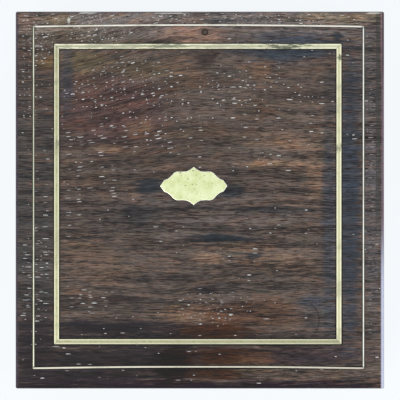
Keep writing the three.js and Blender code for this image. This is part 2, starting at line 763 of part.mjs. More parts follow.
// Tray. Its walls stand on its floor, and the dividers run between the front and back walls.
const trayHalfWidth = innerHalfWidth - trayFit;
const trayHalfDepth = innerHalfDepth - trayFit;
const trayWallBottom = trayBottom + trayFloorThickness + glueLine;
const trayInnerHalfWidth = trayHalfWidth - trayWallThickness;
const trayInnerHalfDepth = trayHalfDepth - trayWallThickness;
add(trayGroup, 'tray_floor', box(-trayHalfWidth, trayHalfWidth, -trayHalfDepth, trayHalfDepth,
  trayBottom, trayBottom + trayFloorThickness), velvet);
for (const [side, sign] of [['front', -1], ['back', 1]]) {
  const outer = sign * trayHalfDepth;
  const inner = sign * trayInnerHalfDepth;
  add(trayGroup, `tray_${side}`, box(-trayHalfWidth, trayHalfWidth,
    Math.min(outer, inner), Math.max(outer, inner), trayWallBottom, trayTop), secondaryWood);
}
for (const [side, sign] of [['left', -1], ['right', 1]]) {
  const outer = sign * trayHalfWidth;
  const inner = sign * trayInnerHalfWidth;
  add(trayGroup, `tray_${side}`, box(Math.min(outer, inner), Math.max(outer, inner),
    -trayInnerHalfDepth + glueLine, trayInnerHalfDepth - glueLine, trayWallBottom, trayTop), secondaryWood);
  const ribbon0 = sign * (trayInnerHalfWidth - glueLine);
  const ribbon1 = sign * (trayInnerHalfWidth - glueLine - tabThickness);
  add(trayGroup, `tray_tab_${side}`, box(Math.min(ribbon0, ribbon1), Math.max(ribbon0, ribbon1),
    -tabWidth / 2, tabWidth / 2, trayTop - tabBelowTop, trayTop + tabAboveTray), silk);
}
const dividerTop = trayTop - dividerBelowTop;
const dividerX = trayInnerHalfWidth - 2 * trayInnerHalfWidth * columnShare;
for (const [side, x] of [['left', -dividerX], ['right', dividerX]]) {
  add(trayGroup, `tray_divider_${side}`, box(x - dividerThickness / 2, x + dividerThickness / 2,
    -trayInnerHalfDepth + glueLine, trayInnerHalfDepth - glueLine,
    trayWallBottom, dividerTop), secondaryWood);
}
const crossY = -trayInnerHalfDepth + 2 * trayInnerHalfDepth * crossDividerShare;
add(trayGroup, 'tray_divider_cross', box(
  dividerX + dividerThickness / 2 + glueLine, trayInnerHalfWidth - glueLine,
  crossY - dividerThickness / 2, crossY + dividerThickness / 2, trayWallBottom, dividerTop), secondaryWood);

const silverwareCase = new THREE.Group();
silverwareCase.add(caseGroup, lidGroup, trayGroup);

export default silverwareCase;
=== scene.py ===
# The looks of a rosewood silverware case with brass let into its lid, seen from straight above.
# Metres, +Z up, +Y towards the hinges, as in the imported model.

import math

import bpy
from mathutils import Matrix, Vector


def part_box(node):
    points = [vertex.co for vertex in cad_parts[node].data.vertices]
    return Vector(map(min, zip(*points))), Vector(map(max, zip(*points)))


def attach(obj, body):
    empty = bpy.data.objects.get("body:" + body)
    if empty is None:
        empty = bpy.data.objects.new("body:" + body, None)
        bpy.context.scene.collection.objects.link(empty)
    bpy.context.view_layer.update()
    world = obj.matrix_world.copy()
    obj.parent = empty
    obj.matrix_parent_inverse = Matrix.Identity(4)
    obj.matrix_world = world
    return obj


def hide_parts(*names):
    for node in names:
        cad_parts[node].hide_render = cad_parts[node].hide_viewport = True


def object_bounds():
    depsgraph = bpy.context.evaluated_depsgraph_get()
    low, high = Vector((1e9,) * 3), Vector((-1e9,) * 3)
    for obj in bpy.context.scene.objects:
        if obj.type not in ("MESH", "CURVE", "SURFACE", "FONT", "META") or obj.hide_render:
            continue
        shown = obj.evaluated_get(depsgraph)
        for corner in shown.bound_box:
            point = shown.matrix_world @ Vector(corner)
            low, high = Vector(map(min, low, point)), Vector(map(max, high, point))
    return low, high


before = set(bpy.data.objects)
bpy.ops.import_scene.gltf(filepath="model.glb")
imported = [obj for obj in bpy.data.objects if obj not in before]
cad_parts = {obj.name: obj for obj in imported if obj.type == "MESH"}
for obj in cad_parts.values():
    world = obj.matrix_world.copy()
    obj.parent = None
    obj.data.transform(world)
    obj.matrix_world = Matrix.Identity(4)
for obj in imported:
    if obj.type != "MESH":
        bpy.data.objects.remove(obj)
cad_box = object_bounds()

# Case walls: four boards of solid rosewood, mitred and glued at the corners, with the grain
# lying along each board. Case and lid were made as one box and sawn apart, so their
# figure runs on across the joint. The outside is polished, and rubbed paler on its edges.

MM = 0.001
SHEEN = 0.015  # light that the polish sends straight back, on top of the wood's own colour


def wire(tree, socket, value):
    """Joins an input socket to another node's output, or sets its plain value."""
    if isinstance(value, bpy.types.NodeSocket):
        tree.links.new(value, socket)
    else:
        socket.default_value = value


def node(tree, kind, sockets=None, **settings):
    """A shader node with its settings, and its sockets set or joined."""
    made = tree.nodes.new("ShaderNode" + kind)
    for name, value in settings.items():
        setattr(made, name, value)
    for name, value in (sockets or {}).items():
        wire(tree, made.inputs[name], value)
    return made


def maths(tree, operation, *values):
    made = node(tree, "Math", operation=operation)
    for socket, value in zip(made.inputs, values):
        wire(tree, socket, value)
    return made.outputs[0]


def vectors(tree, operation, *values):
    made = node(tree, "VectorMath", operation=operation)
    for socket, value in zip(made.inputs, values):
        wire(tree, socket, value)
    return made.outputs["Value" if operation == "LENGTH" else "Vector"]


def split(tree, vector):
    """A vector's X, Y and Z sockets."""
    return node(tree, "SeparateXYZ", {"Vector": vector}).outputs


def combined(tree, **axes):
    """A vector with a value on each axis that is named, and zero on the others."""
    return node(tree, "CombineXYZ", axes).outputs[0]


def between(tree, value, low, high, bottom=0.0, top=1.0):
    """Bottom up to the low value, top from the high one, and a smooth step between them."""
    sockets = {"Value": value, "From Min": low, "From Max": high, "To Min": bottom, "To Max": top}
    return node(tree, "MapRange", sockets, interpolation_type="SMOOTHSTEP").outputs["Result"]


def mixed(tree, share, first, second, way="MIX"):
    """Two colours mixed, with the second one's share from 0 to 1."""
    made = node(tree, "Mix", data_type="RGBA", blend_type=way, clamp_factor=True)
    wire(tree, made.inputs["Factor"], share)
    wire(tree, made.inputs[6], first)
    wire(tree, made.inputs[7], second)
    return made.outputs[2]


def tinted(tree, tone, red, green, blue):
    """A tone with its red, green and blue each multiplied by a share."""
    return mixed(tree, 1.0, tone, (red, green, blue, 1.0), "MULTIPLY")


def laid(tree, below, above, mask, strength):
    """A colour laid over another where a mask shows it, at this strength."""
    return mixed(tree, maths(tree, "MULTIPLY", mask, strength), below, above)


def linear(share):
    return share / 12.92 if share <= 0.04045 else ((share + 0.055) / 1.055) ** 2.4


def polished(red, green, blue):
    """The base colour under a polish that is to look like this screen colour from straight above."""
    return (*(max(linear(part / 255) - SHEEN, 0.002) for part in (red, green, blue)), 1.0)


def new_group(name, takes, gives):
    """An empty node group with its named sockets, and the sockets to join inside it."""
    group = bpy.data.node_groups.new(name, "ShaderNodeTree")
    for direction, sockets in (("INPUT", takes), ("OUTPUT", gives)):
        for socket_name, kind in sockets.items():
            group.interface.new_socket(socket_name, in_out=direction, socket_type="NodeSocket" + kind)
    return group, group.nodes.new("NodeGroupInput").outputs, group.nodes.new("NodeGroupOutput").inputs


def placed(tree, group, **sockets):
    """A node group placed in a material, with its sockets named in lower case."""
    made = tree.nodes.new("ShaderNodeGroup")
    made.node_tree = group
    for name, value in sockets.items():
        wire(tree, made.inputs[name.replace("_", " ").capitalize()], value)
    return made.outputs


def new_material(name):
    """A material with its shader, and the place on the object in millimetres."""
    material = bpy.data.materials.new(name)
    material.use_nodes = True
    tree = material.node_tree
    tree.nodes.clear()
    shader = node(tree, "BsdfPrincipled")
    output = node(tree, "OutputMaterial")
    tree.links.new(shader.outputs[0], output.inputs["Surface"])
    place = node(tree, "TexCoord").outputs["Object"]
    return material, tree, shader, vectors(tree, "MULTIPLY", place, (1 / MM, 1 / MM, 1 / MM))


def turned(tree, place, order):
    """The place with its axes in another order: along the grain, across it, and into the wood."""
    parts = split(tree, place)
    return combined(tree, **{axis: parts[source] for axis, source in zip("XYZ", order)})


def relief(tree, shader, height, strength, depth):
    bump = node(tree, "Bump", {"Height": height, "Strength": strength, "Distance": depth})
    tree.links.new(bump.outputs[0], shader.inputs["Normal"])


def clouds(tree, vector, scale, detail, roughness=0.5, swirl=0.0):
    """Soft noise, whose patches are about 1 / scale across."""
    sockets = {"Vector": vector, "Scale": scale, "Detail": detail, "Roughness": roughness}
    return node(tree, "TexNoise", {**sockets, "Distortion": swirl}).outputs["Fac"]


def stretched(tree, vector, length, height, detail=3.0, roughness=0.5, swirl=0.0):
    """Soft noise drawn out along the grain, with patches of this length and height in millimetres."""
    scaled = vectors(tree, "MULTIPLY", vector, (1 / length, 1 / height, 1 / height))
    return clouds(tree, scaled, 1.0, detail, roughness, swirl)


def sum_of(tree, *weighted):
    """The sum of values, each with its weight."""
    total = 0.0
    for value, weight in weighted:
        total = maths(tree, "MULTIPLY_ADD", value, weight, total)
    return total


def build_grain():
    """Dark streaks, fibres, short dark dashes and thin dark veins along a vector's X."""
    takes = {"Vector": "Vector"}
    gives = {"Streak": "Float", "Band": "Float", "Fibre": "Float", "Vein": "Float", "Ragged": "Float"}
    group, ins, outs = new_group("grain", takes, gives)
    place = ins["Vector"]
    broad = stretched(group, place, 110, 5.0)
    streak = stretched(group, place, 30, 1.2, 4.0, 0.62)
    fibre = stretched(group, place, 8, 0.5, 2.0, 0.65)
    total = sum_of(group, (broad, 0.27), (streak, 0.37), (fibre, 0.36))
    wire(group, outs["Streak"], between(group, total, 0.41, 0.53))
    wire(group, outs["Band"], between(group, broad, 0.35, 0.65))
    wire(group, outs["Fibre"], between(group, fibre, 0.34, 0.66))
    crossing = maths(group, "ABSOLUTE", maths(group, "SUBTRACT", stretched(group, place, 60, 2.6, 2.0), 0.5))
    line = between(group, crossing, 0.004, 0.022, 1.0, 0.0)
    some = between(group, stretched(group, place, 30, 9, 1.0), 0.48, 0.6)
    dash = between(group, stretched(group, place, 9, 0.7, 1.0), 0.59, 0.64)
    vein = maths(group, "MAXIMUM", maths(group, "MULTIPLY", line, some), dash)
    wire(group, outs["Vein"], vein)
    ragged = maths(group, "SUBTRACT", stretched(group, place, 26, 1.3, 3.0, 0.65), 0.5)
    wire(group, outs["Ragged"], maths(group, "MULTIPLY", ragged, 2.2))
    return group


def build_flecks():
    """Short ellipses scattered one to a cell, such as open pores and pits, and the rims round them."""
    sizes = ("Cell length", "Cell height", "Length", "Height", "Density")
    takes = {"Vector": "Vector", **{size: "Float" for size in sizes}}
    group, ins, outs = new_group("flecks", takes, {"Fleck": "Float", "Rim": "Float", "Tone": "Float"})
    jitter = node(group, "TexNoise", {"Vector": ins["Vector"], "Scale": 0.9, "Detail": 1.0}).outputs["Color"]
    jitter = vectors(group, "SUBTRACT", jitter, (0.5, 0.5, 0.5))
    place = vectors(group, "ADD", ins["Vector"], vectors(group, "MULTIPLY", jitter, (1.8, 0.5, 0.0)))
    cell = combined(group, X=ins["Cell length"], Y=ins["Cell height"], Z=1.0)
    scaled = vectors(group, "DIVIDE", place, cell)
    cells = node(group, "TexVoronoi", {"Vector": scaled, "Scale": 1.0}, voronoi_dimensions="2D")
    offset = vectors(group, "SUBTRACT", scaled, cells.outputs["Position"])
    offset = vectors(group, "MULTIPLY", vectors(group, "MULTIPLY", offset, cell), (2.0, 2.0, 0.0))
    size = combined(group, X=ins["Length"], Y=ins["Height"], Z=1.0)
    chance = node(group, "SeparateColor", {"Color": cells.outputs["Color"]}).outputs
    reach = maths(group, "MULTIPLY_ADD", chance["Green"], 0.8, 0.55)
    away = maths(group, "DIVIDE", vectors(group, "LENGTH", vectors(group, "DIVIDE", offset, size)), reach)
    there = maths(group, "LESS_THAN", chance["Red"], ins["Density"])
    wire(group, outs["Fleck"], maths(group, "MULTIPLY", there, between(group, away, 0.7, 1.15, 1.0, 0.0)))
    wire(group, outs["Rim"], maths(group, "MULTIPLY", there, between(group, away, 1.1, 2.0, 1.0, 0.0)))
    wire(group, outs["Tone"], chance["Blue"])
    return group


def build_edge_wear():
    """A mask along the outer edges of an upright box, from its half width, half depth, bottom and top."""
    takes = {"Vector": "Vector", "Half size": "Vector", "Bottom": "Float", "Top": "Float", "Reach": "Float"}
    group, ins, outs = new_group("edge wear", takes, {"Mask": "Float"})
    from_sides = vectors(group, "SUBTRACT", ins["Half size"], vectors(group, "ABSOLUTE", ins["Vector"]))
    parts = split(group, from_sides)
    level = split(group, ins["Vector"])["Z"]
    above = maths(group, "SUBTRACT", level, ins["Bottom"])
    below = maths(group, "SUBTRACT", ins["Top"], level)
    upright = maths(group, "MINIMUM", above, below)
    near = maths(group, "MINIMUM", parts["X"], parts["Y"])
    far = maths(group, "MAXIMUM", parts["X"], parts["Y"])
    second = maths(group, "MAXIMUM", near, maths(group, "MINIMUM", far, upright))
    noise = clouds(group, ins["Vector"], 0.16, 4.0)
    reach = maths(group, "MULTIPLY", ins["Reach"], between(group, noise, 0.35, 0.7, 0.1, 1.6))
    share = maths(group, "DIVIDE", second, maths(group, "ADD", reach, 0.01))
    wire(group, outs["Mask"], between(group, share, 0.2, 1.0, 1.0, 0.0))
    return group


grain = build_grain()
flecks = build_flecks()
edge_wear = build_edge_wear()

# Blue-black of the darkest streaks: partly the wood's own, partly a painted reflection of haze in the polish.
BLUE_BLACK = polished(52, 57, 64)
VEIN_BLACK = polished(42, 35, 33)
WORN_WOOD = polished(118, 92, 78)
PORE_DUST = polished(150, 138, 130)
BOX_HALF = (cad_box[1][0] / MM, cad_box[1][1] / MM, 0.0)  # half the case's width and depth, in mm


def grained(tree, place, tone, blue=0.22, contrast=1.0):
    """The tone broken up into paler streaks and blue-black ones, with fibres and veins, and its relief."""
    lines = placed(tree, grain, vector=place)
    pale = tinted(tree, tone, 1.34, 1.34, 1.33)
    dark = mixed(tree, blue, tinted(tree, tone, 0.42, 0.42, 0.43), BLUE_BLACK)
    light = maths(tree, "MULTIPLY_ADD", maths(tree, "SUBTRACT", lines["Streak"], 0.6), contrast, 0.6)
    colour = mixed(tree, light, dark, pale)
    shown = between(tree, lines["Fibre"], 0.0, 1.0, 0.68, 1.32)
    shown = maths(tree, "MULTIPLY", shown, between(tree, lines["Band"], 0.0, 1.0, 0.84, 1.2))
    fibre_tone = node(tree, "CombineColor", {"Red": shown, "Green": shown, "Blue": shown}).outputs[0]
    colour = mixed(tree, 1.0, colour, fibre_tone, "MULTIPLY")
    colour = laid(tree, colour, VEIN_BLACK, lines["Vein"], 0.7)
    height = sum_of(tree, (lines["Fibre"], 0.6), (lines["Streak"], 0.4), (lines["Vein"], -0.5))
    return colour, height, lines


def scattered(tree, vector, cell, size, density):
    """Flecks of a length and height, in this share of the cells of a net, and one to a cell."""
    return placed(tree, flecks, vector=vector, cell_length=cell[0], cell_height=cell[1],
                  length=size[0], height=size[1], density=density)


def worn_edges(tree, place, bottom, top, reach):
    """The mask of a piece's rubbed outer edges, up to this reach in millimetres."""
    return placed(tree, edge_wear, vector=place, half_size=BOX_HALF, bottom=bottom, top=top,
                  reach=reach)["Mask"]


def finish_polish(tree, shader, colour, height, gloss):
    """French polish over the wood: an even gloss, a little rougher in the pale streaks."""
    tree.links.new(colour, shader.inputs["Base Color"])
    tree.links.new(gloss, shader.inputs["Roughness"])
    shader.inputs["IOR"].default_value = 1.28
    relief(tree, shader, height, 0.35, 0.12 * MM)


def board_rosewood(name, order, bottom, top, joint):
    """Rosewood of a case or lid wall, with the grain along the first axis of the order."""
    material, tree, shader, place = new_material(name)
    along = turned(tree, place, order)
    wave = maths(tree, "SUBTRACT", stretched(tree, along, 130, 40, 2.0), 0.5)
    shift = combined(tree, Y=maths(tree, "MULTIPLY", wave, 12.0))
    along = vectors(tree, "ADD", vectors(tree, "MULTIPLY", along, (0.6, 1.0, 1.0)), shift)
    warm = between(tree, stretched(tree, along, 55, 11, 3.0), 0.45, 0.62)
    tone = mixed(tree, warm, polished(84, 74, 69), polished(100, 80, 69))
    cold = between(tree, stretched(tree, along, 75, 8, 3.0, 0.6), 0.53, 0.66, 0.0, 0.8)
    tone = mixed(tree, cold, tone, polished(60, 57, 59))
    colour, height, lines = grained(tree, along, tone, 0.15, 0.75)
    pores = scattered(tree, along, (7.0, 3.2), (2.0, 0.5), 0.16)
    colour = laid(tree, colour, VEIN_BLACK, pores["Rim"], 0.5)
    colour = laid(tree, colour, PORE_DUST, pores["Fleck"], 0.5)
    colour = laid(tree, colour, WORN_WOOD, worn_edges(tree, place, bottom, top, 2.4), 0.5)
    # Darker along the joint between case and lid.
    from_joint = maths(tree, "ABSOLUTE", maths(tree, "SUBTRACT", split(tree, place)["Z"], joint))
    dark_edge = between(tree, from_joint, 0.3, 1.1, 0.8, 0.0)
    colour = mixed(tree, dark_edge, colour, VEIN_BLACK)
    gloss = between(tree, lines["Streak"], 0.0, 1.0, 0.3, 0.42)
    finish_polish(tree, shader, colour, maths(tree, "SUBTRACT", height, pores["Rim"]), gloss)
    return material


def coat_nodes(names, material):
    """Gives carried-over nodes their finish."""
    for name in names:
        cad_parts[name].material_slots[0].material = material


def bottom_and_top(name):
    low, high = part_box(name)
    return low.z / MM, high.z / MM


for part in ("case", "lid"):
    bottom, top = bottom_and_top(f"{part}_front")
    joint = top if part == "case" else bottom
    across = board_rosewood(f"{part}_rosewood_across", "XZY", bottom, top, joint)
    coat_nodes((f"{part}_front", f"{part}_back"), across)
    endways = board_rosewood(f"{part}_rosewood_endways", "YZX", bottom, top, joint)
    coat_nodes((f"{part}_left", f"{part}_right"), endways)

# Base board: a plain mahogany board glued inside the four walls. The tray's sides and
# dividers are the same wood, thin and lightly waxed.


def shade(red, green, blue):
    """A screen colour, 0 to 255, as a base colour."""
    return (*(linear(part / 255) for part in (red, green, blue)), 1.0)


def waxed_mahogany(name, order):
    material, tree, shader, place = new_material(name)
    along = turned(tree, place, order)
    streak = stretched(tree, along, 40, 2.6, 4.0, 0.6)
    band = stretched(tree, along, 120, 14, 2.0)
    colour = mixed(tree, between(tree, band, 0.38, 0.62), shade(126, 80, 50), shade(150, 100, 66))
    colour = mixed(tree, between(tree, streak, 0.42, 0.66, 0.0, 0.7), colour, shade(92, 54, 34))
    pores = scattered(tree, along, (6.0, 1.6), (2.6, 0.3), 0.7)
    colour = laid(tree, colour, shade(60, 34, 22), pores["Fleck"], 0.6)
    wire(tree, shader.inputs["Base Color"], colour)
    wire(tree, shader.inputs["Roughness"], between(tree, streak, 0.3, 0.7, 0.48, 0.62))
    relief(tree, shader, maths(tree, "SUBTRACT", streak, pores["Fleck"]), 0.3, 0.15 * MM)
    return material


mahogany_across = waxed_mahogany("mahogany_across", "XZY")
mahogany_endways = waxed_mahogany("mahogany_endways", "YZX")
coat_nodes(("base_board",), waxed_mahogany("mahogany_flat", "XYZ"))

# Linings: thin boards covered with cotton velvet, wrapped round their edges and glued
# inside the well. The floor lining is laid first, and the tray rests on the side linings.

MERGE_REACH = 0.001 * MM
SHARP_EDGE = math.radians(40)


def velvet_material(name, deep, lit):
    """Short cotton pile, brushed one way in some places and the other way in others."""
    material, tree, shader, place = new_material(name)
    pile = clouds(tree, place, 2.6, 2.0)
    lay = between(tree, clouds(tree, place, 0.035, 3.0, swirl=0.8), 0.4, 0.6)
    share = sum_of(tree, (lay, 0.6), (between(tree, pile, 0.35, 0.65), 0.4))
    wire(tree, shader.inputs["Base Color"], mixed(tree, share, deep, lit))
    wire(tree, shader.inputs["Roughness"], between(tree, lay, 0.0, 1.0, 0.85, 0.98))
    shader.inputs["Sheen Weight"].default_value = 0.7
    shader.inputs["Sheen Roughness"].default_value = 0.35
    shader.inputs["Sheen Tint"].default_value = lit
    shader.inputs["Specular IOR Level"].default_value = 0.15
    relief(tree, shader, pile, 0.5, 0.3 * MM)
    return material


velvet = velvet_material("claret_velvet", shade(58, 12, 22), shade(112, 30, 44))


def only(piece):
    """Makes a piece the one selected and active object."""
    bpy.ops.object.select_all(action="DESELECT")
    piece.select_set(True)
    bpy.context.view_layer.objects.active = piece


def apply_modifiers(piece):
    only(piece)
    for modifier in list(piece.modifiers):
        bpy.ops.object.modifier_apply(modifier=modifier.name)


def solid_copy(node_name, piece_name):
    """A new piece from a node's solid, merged and with its flat faces whole."""
    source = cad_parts[node_name]
    piece = bpy.data.objects.new(piece_name, source.data.copy())
    bpy.context.scene.collection.objects.link(piece)
    only(piece)
    bpy.ops.mesh.customdata_custom_splitnormals_clear()
    bpy.ops.object.mode_set(mode="EDIT")
    bpy.ops.mesh.select_all(action="SELECT")
    bpy.ops.mesh.remove_doubles(threshold=MERGE_REACH)
    bpy.ops.mesh.dissolve_limited(angle_limit=math.radians(0.5))
    bpy.ops.object.mode_set(mode="OBJECT")
    return piece


def round_edges(piece, width, segments):
    """A live bevel along a piece's sharp edges."""
    edge = piece.modifiers.new("rounding", "BEVEL")
    edge.width = width
    edge.segments = segments
    edge.limit_method = "ANGLE"
    edge.angle_limit = SHARP_EDGE


def covered(node_name, body, rounding):
    """A velvet-covered board in a node's place, with the cloth rounding its edges over."""
    piece = solid_copy(node_name, f"{node_name}_velvet")
    round_edges(piece, rounding, 3)
    apply_modifiers(piece)
    bpy.ops.object.shade_smooth_by_angle(angle=math.radians(35))
    piece.data.materials.clear()
    piece.data.materials.append(velvet)
    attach(piece, body)
    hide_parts(node_name)


covered("well_floor_lining", "case", 0.6 * MM)
for side in ("left", "right", "front", "back"):
    covered(f"well_lining_{side}", "case", 0.9 * MM)

# Knife racks: two slotted blocks of soft wood under the same velvet, glued across the well.
# Handles and blades lie in their slots by turns.

for side in ("front", "back"):
    covered(f"knife_rack_{side}", "case", 1.3 * MM)

# Lock: a brass box and plate cut into the front wall, with a steel bolt that slides
# sideways. The hinges, screws and link plate are the same cast and filed brass.


def metal_material(name, bright, dull, rough, scratch_axis):
    """Old metal, rubbed bright in places and dull in others, with fine file marks along an axis."""
    material, tree, shader, place = new_material(name)
    along = turned(tree, place, scratch_axis)
    dulled = between(tree, clouds(tree, place, 0.12, 5.0, 0.6), 0.4, 0.64)
    marks = stretched(tree, along, 5, 0.12, 2.0)
    wire(tree, shader.inputs["Base Color"], mixed(tree, dulled, bright, dull))
    wire(tree, shader.inputs["Roughness"], between(tree, dulled, 0.0, 1.0, rough, rough + 0.22))
    shader.inputs["Metallic"].default_value = 1.0
    relief(tree, shader, marks, 0.2, 0.03 * MM)
    return material


hardware_brass = metal_material("hardware_brass", shade(214, 178, 104), shade(150, 116, 62), 0.26, "XYZ")
screw_brass = metal_material("screw_brass", shade(206, 168, 96), shade(128, 96, 50), 0.3, "YXZ")
steel = metal_material("steel", shade(176, 174, 170), shade(92, 86, 80), 0.28, "XZY")
coat_nodes(("lock_body",), hardware_brass)
coat_nodes(("lock_bolt",), steel)
coat_nodes(("lock_screw_left", "lock_screw_right"), screw_brass)

# Hinges: two stop hinges let into the back edges, each with two leaves on a steel pin.
# Every leaf is held by two countersunk brass screws.

for side in ("left", "right"):
    coat_nodes((f"hinge_leaf_case_{side}", f"hinge_leaf_lid_{side}"), hardware_brass)
    coat_nodes((f"hinge_pin_{side}",), steel)
    for part in ("case", "lid"):
        coat_nodes((f"hinge_screw_{part}_{side}_outer", f"hinge_screw_{part}_{side}_inner"), screw_brass)

# Lid board: one wide board of figured rosewood, its grain lying left to right and its top
# edge rounded. Its figure is laid out in millimetres from the lid's middle: x, y,
# half length, half height, the tone of the wood there, and how much of it shows.

BOARD_TONE = polished(94, 82, 76)
BOARD_EDGE = polished(88, 76, 71)
GLUE_BLACK = polished(34, 27, 23)
LID_ROUNDING = 3.0
TOP_SHARE = 1 / 3  # of the rounding's height, which has the full tones of the board's top
HIGHLIGHT_SHARES = (0.7, 0.4)  # of the rounding's height, between which the painted highlight sets in

PALE = (129, 119, 116)
STRAW = (134, 120, 104)
ROSE = (152, 124, 112)
TAN = (132, 108, 92)
RUSSET = (120, 97, 82)
OLIVE = (114, 100, 80)
FAWN = (110, 97, 90)
ASH = (92, 88, 90)
PLUM = (96, 74, 72)
GREY = (77, 74, 73)
DUSK = (60, 53, 56)
# Slate: partly the wood's tone, partly a painted reflection of haze, above all at the right border.
SLATE = (68, 73, 82)
INK = (50, 55, 60)
SOOT = (49, 45, 48)
EBONY = (39, 28, 31)
OXBLOOD = (64, 45, 36)
BURNT = (100, 74, 60)
# Painted shade and dark reflection on the lid's front rounded edge, over dark wood.
FRONT_EDGE_SHADE = (42, 34, 42)

FIGURE = (
    (0, 144, 175, 14, PALE, 0.9),
    (0, 108, 105, 18, FAWN, 0.75),
    (-70, 72, 55, 32, PLUM, 0.75),
    (5, 80, 36, 36, FAWN, 0.5),
    (76, 52, 38, 30, FAWN, 0.7),
    (30, -45, 90, 46, FAWN, 0.28),
    (-10, -12, 100, 22, ASH, 0.3),
    (10, -74, 110, 40, GREY, 0.2),
    (-126, 0, 10, 100, GREY, 0.8),
    (-144, 0, 9, 115, GREY, 0.8),
    (140, -16, 8, 100, ASH, 0.85),
    (136, 90, 14, 60, ASH, 0.7),
    (-30, -114, 140, 8, SOOT, 0.75),
    (-60, -130, 110, 16, SOOT, 0.95),
    (75, -127, 70, 11, DUSK, 0.95),
    (-100, -145, 75, 10, SOOT, 0.95),
    (84, -142, 70, 9, FAWN, 0.35),
    (-134, -116, 20, 38, SOOT, 0.9),
    # The front edge's painted shade and dark reflection.
    (0, -156, 260, 11, FRONT_EDGE_SHADE, 1.0),
    (-100, 134, 45, 8, STRAW, 0.5),
    (-10, 135, 28, 7, ROSE, 0.9),
    (-142, 147, 11, 8, ROSE, 0.6),
    (-117, 146, 16, 5, STRAW, 0.8),
    (112, 148, 44, 5, STRAW, 0.8),
    (-124, 112, 11, 7, OLIVE, 0.6),
    (-95, 112, 22, 9, OLIVE, 0.9),
    (-44, 106, 26, 8, OLIVE, 0.6),
    (-10, 100, 18, 12, RUSSET, 0.7),
    (-23, 53, 12, 3, TAN, 0.9),
    (-76, 42, 12, 4, TAN, 0.9),
    (-49, 58, 11, 10, RUSSET, 0.6),
    (8, 57, 16, 6, RUSSET, 0.6),
    (50, 104, 10, 10, RUSSET, 0.8),
    (69, 46, 32, 4, TAN, 0.8),
    (61, 30, 34, 3, TAN, 0.9),
    (93, 32, 8, 32, TAN, 0.5),
    (6, -47, 16, 5, TAN, 0.75),
    (65, -51, 34, 8, TAN, 0.6),
    (35, -38, 25, 4, RUSSET, 0.65),
    (82, -8, 26, 6, FAWN, 0.7),
    (-99, -42, 14, 17, RUSSET, 0.35),
    (-73, -61, 26, 10, RUSSET, 0.4),
    (-134, -62, 18, 32, GREY, 0.6),
    (-10, -92, 26, 9, RUSSET, 0.9),
    (24, -97, 22, 14, BURNT, 0.8),
    (55, -91, 26, 14, BURNT, 0.7),
    (6, -106, 42, 8, OXBLOOD, 0.95),
    (-20, -132, 20, 20, EBONY, 1.0),
    (22, -128, 32, 9, OXBLOOD, 0.9),
    (46, -129, 16, 6, BURNT, 0.55),
    (14, -140, 24, 7, OXBLOOD, 0.9),
    (46, -136, 20, 4, OLIVE, 0.6),
    (72, 124, 48, 13, SLATE, 0.9),
    (112, 132, 5, 4, INK, 0.9),
    (122, 0, 9, 124, SLATE, 0.95),
    (105, -20, 6, 90, SLATE, 0.7),
    (106, 89, 6, 28, GREY, 0.6),
    (-108, 98, 6, 28, SLATE, 0.6),
    (-5, 10, 34, 19, INK, 0.5),
    (-41, 11, 13, 8, INK, 0.9),
    (28, 8, 12, 7, INK, 0.8),
    (18, -31, 30, 4, INK, 1.0),
    (61, -8, 38, 3, INK, 0.6),
    (-50, -10, 17, 7, INK, 0.5),
    (44, -45, 9, 3, INK, 0.85),
    (5, -73, 10, 4, SOOT, 0.8),
    (-72, -104, 62, 8, SOOT, 1.0),
    (99, -93, 20, 20, SLATE, 0.35),
    (91, -83, 12, 6, SLATE, 0.65),
    (-65, -80, 21, 3, SOOT, 0.7),
    (5, 114, 10, 7, SOOT, 0.7),
)

# Ribbons of other tones among the figure: length, height, how rare they are, how much of each
# shows, and its change of the red, green and blue.
RIBBONS = (
    (19, 3.6, 0.53, 0.45, (1.32, 1.02, 0.86)),
    (14, 3.6, 0.54, 0.4, (1.04, 1.1, 0.86)),
    (13, 1.6, 0.55, 0.6, (0.5, 0.62, 0.74)),
)
# How far off the first ribbons' pattern is taken, and each next one's from there.
RIBBON_START = (400.0, 90.0, 0.0)
RIBBON_STEP = (230.0, 60.0, 0.0)
# Where the grain is calmer, more even or starker: x, y, half length, half height.
CALM_PART = (-20.0, 96.0, 135.0, 80.0)
EVEN_PART = (122.0, 0.0, 11.0, 130.0)
STARK_PART = (10.0, -120.0, 95.0, 40.0)

# Where the pores have opened: x, y, half length, half height, and how many of them show.
OPEN_PORES = (
    (-10, 148, 150, 5, 0.7),
    (-85, 136, 30, 9, 0.9),
    (-60, 90, 52, 30, 0.48),
    (-131, 130, 13, 20, 1.0),
    (-136, 96, 9, 45, 0.4),
    (34, 92, 40, 17, 0.36),
    (86, 86, 18, 13, 0.2),
    (14, -87, 37, 16, 0.42),
    (-24, 57, 26, 20, 0.32),
    (52, 35, 10, 4, 0.7),
)
LONG_PORES = (
    (-60, 50, 70, 16, 0.5),
    (-112, 18, 26, 60, 0.4),
    (-68, 18, 22, 20, 0.55),
    (50, 33, 18, 6, 0.5),
    (-134, -64, 12, 42, 1.0),
    (-134, 128, 12, 13, 0.9),
    (-142, 148, 9, 4, 0.9),
    (-89, -81, 26, 15, 0.7),
    (60, 70, 60, 30, 0.25),
    (20, 145, 150, 6, 0.4),
    (-90, -128, 40, 18, 0.1),
)
COMBED_PORES = ((139.5, 10, 6.5, 120, 0.8),)
